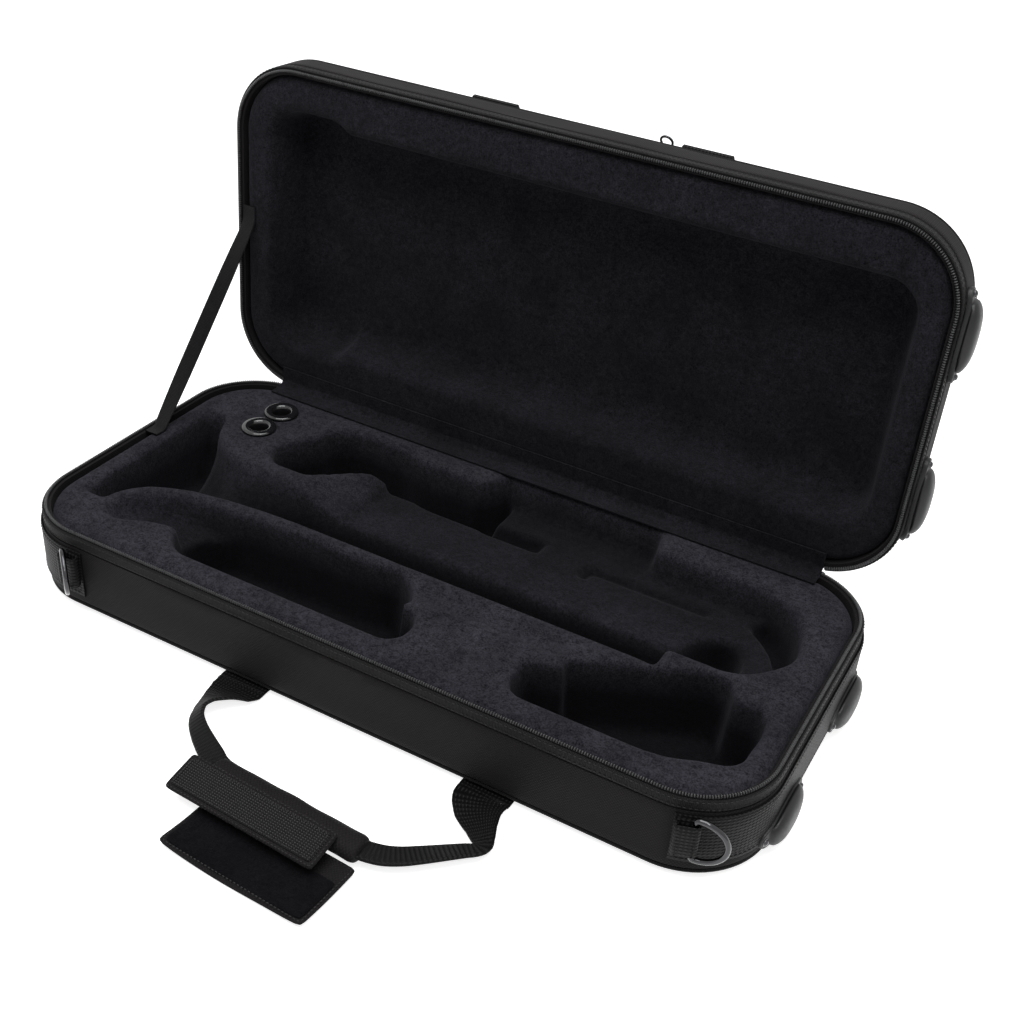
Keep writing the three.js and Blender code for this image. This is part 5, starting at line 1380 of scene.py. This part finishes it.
class CASE_OT_grip(bpy.types.Operator):
    """Pads the handle's wrap and sews its two flaps with their hook and loop tapes."""

    bl_idname = "trumpet_case.grip"
    bl_label = "Handle grip"

    def execute(self, context):
        sections = []
        first, last = np.linspace(WRAP_FROM, -54, 8), np.linspace(51, WRAP_TO, 8)
        for x in np.concatenate((first, np.linspace(-52, 49, 52), last)):
            inward = min(min(x - WRAP_FROM, WRAP_TO - x) / 6, 1)
            size = 0.7 + 0.3 * math.sqrt(1 - (1 - inward) ** 2)
            ring = []
            for angle in turned_round(WRAP_SIDES):
                fold = 0.35 * math.sin(x * 0.16 + 2.2 * math.cos(angle))
                fold *= math.sin(x * 0.05 + 3 * math.sin(angle))
                c, s = squared(angle, WRAP_SQUARENESS)
                wide, high = (WRAP_SIZE[0] * size + fold) * c, (WRAP_SIZE[1] * size + fold) * s
                ring.append(GRIP_PLACE @ Vector((x, wide, high)))
            sections.append(ring)
        wrap = strip("grip_padding", sections, "nylon", angle=70)
        finished(wrap, "carry_handle", "nylon", "grip_wrap")

        lower = (
            GRIP_PLACE @ Matrix.Translation((5, -9.3, -6)) @ Matrix.Rotation(math.radians(3.1), 4, "X")
        )
        flap = sewn_pad(
            "grip_lower_cloth", *LOWER_HALF, 3, 2, "nylon",
            lower @ Matrix.Translation((0, -LOWER_HALF[1], 0)), bend=creased,
        )
        finished(flap, "lower_flap", "nylon", "grip_lower_flap")
        loop = sewn_pad(
            "grip_loop_pile", 52, 16.5, 2.5, 0.9, "loop",
            lower @ Matrix.Translation((0, -32, 1.6)), bend=lambda x, y: creased(x, y - 6.25),
        )
        finished(loop, "lower_flap", "hook_tape", "grip_loop_tape")
        edge = looped(53.2, 23.95, 2.5, Matrix.Identity(4))
        edge = [
            lower @ Vector((p.x, p.y - LOWER_HALF[1], 1.05 + float(creased(np.array(p.x), np.array(p.y)))))
            for p in edge
        ]
        stitched("grip_lower_stitches", [densed(edge)], "lower_flap", closed=True, pitch=FLAP_STITCH)

        upper = (
            GRIP_PLACE @ Matrix.Translation((-15, -4, 9.0)) @ Matrix.Rotation(math.radians(13), 4, "X")
        )
        flap = sewn_pad(
            "grip_upper_cloth", *UPPER_HALF, 3, 3, "nylon",
            upper @ Matrix.Translation((0, -UPPER_HALF[1], 0)), bend=bowed,
        )
        finished(flap, "upper_flap", "nylon", "grip_upper_flap")
        hook = sewn_pad(
            "grip_hook_pile", 55, 11, 2, 1.1, "hook",
            upper @ Matrix.Translation((0, -UPPER_HALF[1], 1.9)), bend=bowed,
        )
        finished(hook, "upper_flap", "hook_tape", "grip_hook_tape")
        rows = [
            densed(looped(a, b, 2, upper @ Matrix.Translation((0, -UPPER_HALF[1], z))))
            for a, b, z in ((53.6, 9.6, 2.75), (56.7, 12.7, 1.65))
        ]
        stitched("grip_upper_stitches", rows, "upper_flap", closed=True, pitch=FLAP_STITCH)
        return {"FINISHED"}


def densed(line, step=2.0):
    """A closed line with points about every step, for even stitches."""
    out = []
    for a, b in zip(line, line[1:] + line[:1]):
        parts = max(1, round((b - a).length / step))
        out.extend(a.lerp(b, k / parts) for k in range(parts))
    return out


def slider(name, body, node, place, move=None):
    """A zip slider's body with its bridge."""
    shell = sewn_pad(
        f"{name}_shoe", 5.5, 3.75, 2.6, 3.0, "metal",
        place @ Matrix.Translation((0, 0, 1.5)), puff=0.35, step=0.8, move=move,
    )
    finished(shell, body, "black_metal", node)
    turns = np.linspace(0, math.pi, 13)
    arch = [place @ Vector((4 * math.cos(a), 0, 2.6 + 1.2 * math.sin(a))) for a in turns]
    up = place.to_3x3() @ Vector((0, 1, 0))
    bridge = rod(f"{name}_bridge", arch, (0.6, 1.0), "metal", up, sides=10, move=move)
    finished(bridge, body, "black_metal")


PULL_TIP = 4.5
PULL_TIP_AT = 14.5
PULL_EYE = 2.25
PULL_WIRE = 0.95
PULL_SEAT = Matrix.Translation((0, 0, 5.25))


def pull(name, body, node, place, move=None):
    """A long wire loop from a slider's bridge."""
    turns = np.linspace(math.pi / 2, -math.pi / 2, 13)
    line = [(PULL_TIP * math.sin(a), PULL_TIP_AT + PULL_TIP * math.cos(a), 0) for a in turns]
    line += [(-3.4, 8.0, 0)]
    turns = np.linspace(0, math.pi, 9)
    line += [(-PULL_EYE * math.cos(a), PULL_EYE - PULL_EYE * math.sin(a), 0) for a in turns]
    line += [(3.4, 8.0, 0)]
    line = [place @ Vector(p) for p in line]
    up = place.to_3x3() @ Vector((0, 0, 1))
    loop = rod(
        f"{name}_loop", line, (PULL_WIRE, PULL_WIRE), "metal", up,
        closed=True, sides=12, move=move,
    )
    finished(loop, body, "black_metal", node)


SLIDER_PLACE = (238, 133.9, 60.25)


class CASE_OT_zip_sliders(bpy.types.Operator):
    """Casts the two sliders parked at the back, with their pulls."""

    bl_idname = "trumpet_case.zip_sliders"
    bl_label = "Zip sliders"

    def execute(self, context):
        for name, side in (("right", 1), ("left", -1)):
            x, y, z = SLIDER_PLACE
            place = Matrix.Translation((side * x, y, z)) @ Matrix.Rotation(-math.pi / 2, 4, "X")
            slider(f"{name}_slider", "base", f"{name}_zip_slider", place)
            pull(f"{name}_pull", f"{name}_pull", f"{name}_zip_pull", place @ PULL_SEAT)
        return {"FINISHED"}


def across_hinge(obj, node):
    """Bakes the placement of cloth across the hinge and hides the node it replaces."""
    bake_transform(obj)
    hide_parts(node)


# Name, node, (y, z) path, half length, thickness, material and slot of the cloths that bend
HINGE_CLOTHS = (
    ("hinge_gusset_plush", "hinge_gusset", (
        (115.6, 65.4), (121, 65.5), (126.6, 65.7), (130.1, 66.7), (132.8, 69.5), (133.1, 71.3), (133.1, 76),
        (133.1, 81.5),
    ), 241, 1.0, "lid_plush", "plush"),
    ("hinge_tape_cloth", "hinge_tape", (
        (134.9, 39.5), (134.9, 50), (134.9, 60.5), (136.4, 62), (137.9, 63.4), (148, 63), (158.9, 62.5),
    ), 227, 1.2, "tape", "webbing"),
)
STAY_X = -HALF_LENGTH + 12
STAY_LOW = Vector((STAY_X, 20, 69.5))
STAY_HIGH = Vector((STAY_X, 135.3, 196))
STAY_SIZE = (12, 1.2)
STAY_TWIST = math.radians(38)


class CASE_OT_hinge(bpy.types.Operator):
    """Sews the hinge's inner gusset and outer tape, and the stay strap."""

    bl_idname = "trumpet_case.hinge"
    bl_label = "Fabric hinge and stay strap"

    def execute(self, context):
        for name, node, points, half, thick, material, slot in HINGE_CLOTHS:
            line = smooth_line([(0, y, z) for y, z in points], 1.2)
            sections = []
            xs = np.linspace(-half, half, 41)
            for i, spot in enumerate(line):
                along = heading(line, i)
                face = Vector((0, -along.z, along.y)) * thick / 2
                sections.append(
                    [spot + face + Vector((x, 0, 0)) for x in xs]
                    + [spot - face + Vector((x, 0, 0)) for x in xs[::-1]]
                )
            across_hinge(strip(name, sections, material), node)
        rise = (STAY_HIGH - STAY_LOW).normalized()
        back = Vector((0, -rise.z, rise.y))
        stations = [((STAY_X, y, 65.5), (0, 0, 1)) for y in (6, 16)]
        for share in np.linspace(0, 1, 9):
            twist = Matrix.Rotation(STAY_TWIST * math.sin(math.pi * share), 3, rise)
            stations.append((STAY_LOW.lerp(STAY_HIGH, share), twist @ back))
        stations += [((STAY_X, y, z), (0, -1, 0)) for y, z in ((139.4, 204), (139.9, 214))]
        stay = strap("stay_webbing", [(p, *STAY_SIZE, up) for p, up in stations], "tape")
        across_hinge(stay, "stay_strap")
        return {"FINISHED"}


class CASE_OT_lid_shell(bpy.types.Operator):
    """Sews the nylon lid, its piping and its half of the zip."""

    bl_idname = "trumpet_case.lid_shell"
    bl_label = "Lid shell and zip"

    def execute(self, context):
        inner = smooth_line([(r, h, 0) for r, h in reversed(INNER_CROWN)], 4)
        crown = smooth_line([(r, h, 0) for r, h in CROWN], 3)
        profile = [(p.x, p.y) for p in inner] + [
            (SHELL_WALL, 3.4), (LEDGE, 3.4), (LEDGE, 11.6), (1.0, 11.8), (0.3, 12.3), (0, 13.2),
        ]
        profile += [(0, h) for h in (17, 21, 25, 28.5)]
        profile += [(0, 30.2), (0.35, 31.1), (1.2, 31.6), (3.0, 31.7), (3.6, 32.1), (3.6, 35.6)]
        profile += [(p.x, p.y) for p in crown]
        profile = [(r, ZIP_Z + h) for r, h in profile]
        shell = round_pan("lid_shell_cloth", profile, "nylon", move=OPENED, slack=0.35)
        finished(shell, "lid", "nylon", "lid_shell")
        piped("lid", "lid_edge_piping", ZIP_Z + 33.75, move=OPENED)
        zip_half("lid", ZIP_Z + 2.7, ZIP_Z + 11.2, ZIP_Z + 0.3, move=OPENED)
        return {"FINISHED"}


CAVITY_STEPS = [
    (-5, 0), (-3, 0.4), (-1, 1.8), (0.5, 4.5), (2, 11), (3.7, 21), (6.1, 31), (9, 36.3), (12.9, 39.3),
    (18, 41), (26, 42),
]


def liner_face(x, y):
    """The closed lid's moulding seen from below, with one wide cavity and a bay for the bell."""
    insets, depths = zip(*CAVITY_STEPS)
    sink = np.zeros(x.shape)
    for middle, half_x, half_y in ((2.85, 258, 92), (-216.15, 39, 100)):
        sink = np.maximum(sink, np.interp(wall_inset(x - middle, y, half_x, half_y, 26), insets, depths))
    return ZIP_Z + LINING_RECESS + edge_drop(wall_inset(x, y)) + sink


def liner_back(x, y):
    insets, heights = zip(*INNER_CROWN)
    return ZIP_Z - 0.3 + np.interp(wall_inset(x, y) - 0.3, insets, heights)


class CASE_OT_lid_liner(bpy.types.Operator):
    """Moulds the lid's plush liner."""

    bl_idname = "trumpet_case.lid_liner"
    bl_label = "Lid liner"

    def execute(self, context):
        sizes = context.scene.case_sizes
        liner = moulded(
            "lid_liner_plush", liner_face, liner_back, "lid_plush",
            sizes.lining_grain, sizes.softening, move=OPENED,
        )
        finished(liner, "lid", "plush", "lid_liner")
        return {"FINISHED"}


LID_HANDLE_X = 6.0
LID_HANDLE_SPAN = 84.0
LID_HANDLE_REACH = 72.0
# Shares of the span and the reach, and the lift off the crown
LID_HANDLE_SIDE = [
    (1, 0.13, 3), (0.99, 0.24, 3.7), (0.96, 0.38, 4.5), (0.9, 0.55, 5), (0.76, 0.76, 5), (0.45, 0.95, 5),
]


class CASE_OT_lid_handle(bpy.types.Operator):
    """Sews the loop that folds back over the lid's crown."""

    bl_idname = "trumpet_case.lid_handle"
    bl_label = "Lid handle"

    def execute(self, context):
        loop = [(-x, y, lift) for x, y, lift in LID_HANDLE_SIDE] + [(0, 1, 5)] + LID_HANDLE_SIDE[::-1]
        ends = {}
        for side in (-1, 1):
            x = LID_HANDLE_X + side * LID_HANDLE_SPAN
            spots = [
                Vector((x, -HALF_WIDTH + 4 * inset, ZIP_Z + LID_WALL + 4 * rise))
                for inset, rise in ((0.75, 0.5), (0.2, 0.6), (0.1, 1.05), (0.8, 1.6))
            ]
            ends[side] = []
            for i, spot in enumerate(spots):
                along = spots[min(i + 1, 3)] - spots[max(i - 1, 0)]
                ends[side].append((spot, Vector((1, 0, 0)).cross(along).normalized()))
        stations = list(ends[-1])
        for x, y, lift in loop:
            place_y, place_z, up = crown_place(3.6 + LID_HANDLE_REACH * y, lift)
            stations.append((Vector((LID_HANDLE_X + LID_HANDLE_SPAN * x, place_y, place_z)), up))
        stations += reversed(ends[1])
        web = strap(
            "lid_handle_strap", [(p, WEBBING, WEBBING_THICK, up) for p, up in stations],
            "webbing", move=OPENED,
        )
        finished(web, "lid_handle", "webbing", "lid_handle_webbing")
        return {"FINISHED"}


POCKET_MARGIN = 46.0
POCKET_Z = ZIP_Z + 59.4
POCKET_ZIP_HALF = 205.0
POCKET_ZIP_INSET = 19.9
POCKET_TAPE_HALF = 4.5
POCKET_SLIDER_X = 55.0


def rippled(x, y):
    """How far the pocket's cloth waves."""
    return 0.25 * np.sin(x / 31) * np.sin(y / 17 + x / 90)


class CASE_OT_pocket(bpy.types.Operator):
    """Sews the outer pocket on the lid, with its zip."""

    bl_idname = "trumpet_case.pocket"
    bl_label = "Outer pocket"

    def execute(self, context):
        half_x, half_y = HALF_LENGTH - POCKET_MARGIN, HALF_WIDTH - POCKET_MARGIN
        place = Matrix.Translation((0, 0, POCKET_Z))
        panel = sewn_pad(
            "pocket_cloth", half_x, half_y, 29, 2.2, "nylon", place,
            bend=rippled, puff=0.7, step=5, move=OPENED,
        )
        finished(panel, "lid", "nylon", "pocket_panel")
        rows = [densed(looped(half_x - inset, half_y - inset, 27, place, 1.15), 6) for inset in (3, 6)]
        stitched("pocket_stitches", rows, "lid", closed=True, move=OPENED)
        half = POCKET_ZIP_HALF
        corners = [
            crown_place(POCKET_ZIP_INSET + sign * POCKET_TAPE_HALF, lift)[:2]
            for sign, lift in ((-1, 0.3), (0, 0.3), (1, 0.3), (1, 1.1), (0, 1.1), (-1, 1.1))
        ]
        sections = [[(x, y, z) for y, z in corners] for x in np.linspace(-half, half, 42)]
        tape = strip("pocket_tape", sections, "tape", move=OPENED)
        finished(tape, "lid", "webbing", "pocket_zip_tape")
        y, z, _ = crown_place(POCKET_ZIP_INSET, 1.85)
        pitch = context.scene.case_sizes.zip_pitch
        teeth = repeat_along(
            "pocket_coil", [[(-half, y, z), (half, y, z)]], pitch, (0.95, 3.1, 1.9),
            "coil", move=OPENED,
        )
        finished(teeth, "lid", "zip_teeth", "pocket_zip_teeth")
        places = [crown_place(inset, 1.2)[:2] for inset in (16.6, 23.2)]
        edges = [[(-half + 2, y, z), (half - 2, y, z)] for y, z in places]
        stitched("pocket_tape_stitches", edges, "lid", move=OPENED)
        y, z, up = crown_place(POCKET_ZIP_INSET, 2.6)
        turn = Matrix.Rotation(math.atan2(-up.y, up.z), 4, "X")
        seat = Matrix.Translation((POCKET_SLIDER_X, y, z)) @ turn
        slider("pocket_slider", "pocket_slider", "pocket_slider", seat, move=OPENED)
        turned = seat @ PULL_SEAT @ Matrix.Rotation(math.pi, 4, "Z")
        pull("pocket_pull", "pocket_pull", "pocket_pull", turned, move=OPENED)
        return {"FINISHED"}


# Stage

def seen_white(tree, colour_output, seen, unseen):
    """Joins two shaders: one for rays that should see a white room, one that lights the case."""
    path = add(tree, "ShaderNodeLightPath")
    direct = maths(tree, "MAXIMUM", path.outputs["Is Camera Ray"], path.outputs["Is Glossy Ray"])
    seeing = maths(tree, "MAXIMUM", direct, path.outputs["Is Transmission Ray"])
    mix = add(tree, "ShaderNodeMixShader")
    tree.links.new(seeing, mix.inputs[0])
    tree.links.new(unseen, mix.inputs[1])
    tree.links.new(seen, mix.inputs[2])
    tree.links.new(mix.outputs[0], colour_output)


FLOOR_HALF = 6.0
LIGHTS_AIM = Vector((0, 0, 0.1))


class CASE_OT_stage(bpy.types.Operator):
    """Sets the floor, the soft lights and the camera."""

    bl_idname = "trumpet_case.stage"
    bl_label = "Stage"

    def execute(self, context):
        scene = context.scene
        place = scene.case_stage
        back = Vector((
            math.sin(place.azimuth) * math.cos(place.elevation),
            -math.cos(place.azimuth) * math.cos(place.elevation),
            math.sin(place.elevation),
        ))
        level = Vector((0, 0, 1)).cross(back).normalized()
        above = back.cross(level)
        right = level * math.cos(place.roll) + above * math.sin(place.roll)
        up = above * math.cos(place.roll) - level * math.sin(place.roll)
        camera = scene_object("camera", bpy.data.cameras.new("camera"))
        camera.data.lens = place.lens
        camera.data.clip_start = 0.01
        camera.data.clip_end = 50
        turn = Matrix((right, up, back)).transposed().to_4x4()
        camera.matrix_world = Matrix.Translation(place.place) @ turn
        scene.camera = camera

        data = bpy.data.meshes.new("floor")
        ends = ((-1, -1), (1, -1), (1, 1), (-1, 1))
        data.from_pydata([(FLOOR_HALF * x, FLOOR_HALF * y, 0) for x, y in ends], [], [(0, 1, 2, 3)])
        floor = scene_object("floor", data)
        made = bpy.data.materials.new("pale_floor")
        tree, out = bare_tree(made, "ShaderNodeOutputMaterial")
        matt = filled(add(tree, "ShaderNodeBsdfDiffuse"), Color=(0.8, 0.8, 0.8, 1))
        glow = filled(add(tree, "ShaderNodeEmission"), Strength=0.8)
        both = add(tree, "ShaderNodeAddShader")
        tree.links.new(matt.outputs[0], both.inputs[0])
        tree.links.new(glow.outputs[0], both.inputs[1])
        seen_white(tree, out.inputs["Surface"], both.outputs[0], matt.outputs[0])
        data.materials.append(made)

        world = bpy.data.worlds.new("studio")
        tree, out = bare_tree(world, "ShaderNodeOutputWorld")
        white = filled(add(tree, "ShaderNodeBackground"), Color=(1, 1, 1, 1))
        room = filled(add(tree, "ShaderNodeBackground"), Strength=place.room)
        seen_white(tree, out.inputs["Surface"], white.outputs[0], room.outputs[0])
        scene.world = world

        for name, spot, wide, power in (
            ("overhead", (0.1, -0.3, 2.2), 1.8, place.overhead),
            ("left_fill", (-1.9, -1.2, 1.1), 1.4, place.fill),
            ("key", (0.9, -1.0, 1.6), 0.2, place.key),
        ):
            lamp = bpy.data.lights.new(name, "AREA")
            lamp.shape = "SQUARE"
            lamp.size = wide
            lamp.energy = power
            holder = scene_object(name, lamp)
            holder.location = spot
            holder.rotation_euler = (LIGHTS_AIM - Vector(spot)).to_track_quat("-Z", "Y").to_euler()
        scene.view_settings.view_transform = "Standard"
        return {"FINISHED"}


class CASE_PT_pieces(bpy.types.Panel):
    """Lists the pieces and the sizes and colours behind them."""

    bl_idname = "CASE_PT_pieces"
    bl_label = "Trumpet case"
    bl_space_type = "VIEW_3D"
    bl_region_type = "UI"
    bl_category = "Trumpet case"

    def draw(self, context):
        layout = self.layout
        for group in (context.scene.case_sizes, context.scene.case_colours, context.scene.case_stage):
            box = layout.box()
            for key in group.__annotations__:
                box.prop(group, key)
        for piece in PIECES:
            layout.operator(piece.bl_idname)


GROUPS = (CaseSizes, CaseColours, CaseStage)
PIECES = (
    CASE_OT_materials, CASE_OT_stage, CASE_OT_base_shell, CASE_OT_insert, CASE_OT_holders,
    CASE_OT_end_bands, CASE_OT_feet, CASE_OT_end_handle, CASE_OT_carry_handle, CASE_OT_grip,
    CASE_OT_zip_sliders, CASE_OT_hinge, CASE_OT_lid_shell, CASE_OT_lid_liner, CASE_OT_lid_handle,
    CASE_OT_pocket,
)


def register():
    for made in GROUPS + PIECES + (CASE_PT_pieces,):
        bpy.utils.register_class(made)
    bpy.types.Scene.case_sizes = PointerProperty(type=CaseSizes)
    bpy.types.Scene.case_colours = PointerProperty(type=CaseColours)
    bpy.types.Scene.case_stage = PointerProperty(type=CaseStage)


def unregister():
    del bpy.types.Scene.case_stage
    del bpy.types.Scene.case_colours
    del bpy.types.Scene.case_sizes
    for made in reversed(GROUPS + PIECES + (CASE_PT_pieces,)):
        bpy.utils.unregister_class(made)


def corners(box):
    return [[round(v, 6) for v in corner] for corner in box]


def main():
    register()
    steps = bpy.ops.trumpet_case
    steps.materials()
    steps.stage()
    steps.base_shell()
    steps.insert()
    steps.holders()
    steps.end_bands()
    steps.feet()
    steps.end_handle()
    steps.carry_handle()
    steps.grip()
    steps.zip_sliders()
    steps.hinge()
    steps.lid_shell()
    steps.lid_liner()
    steps.lid_handle()
    steps.pocket()


if __name__ == "__main__":
    main()
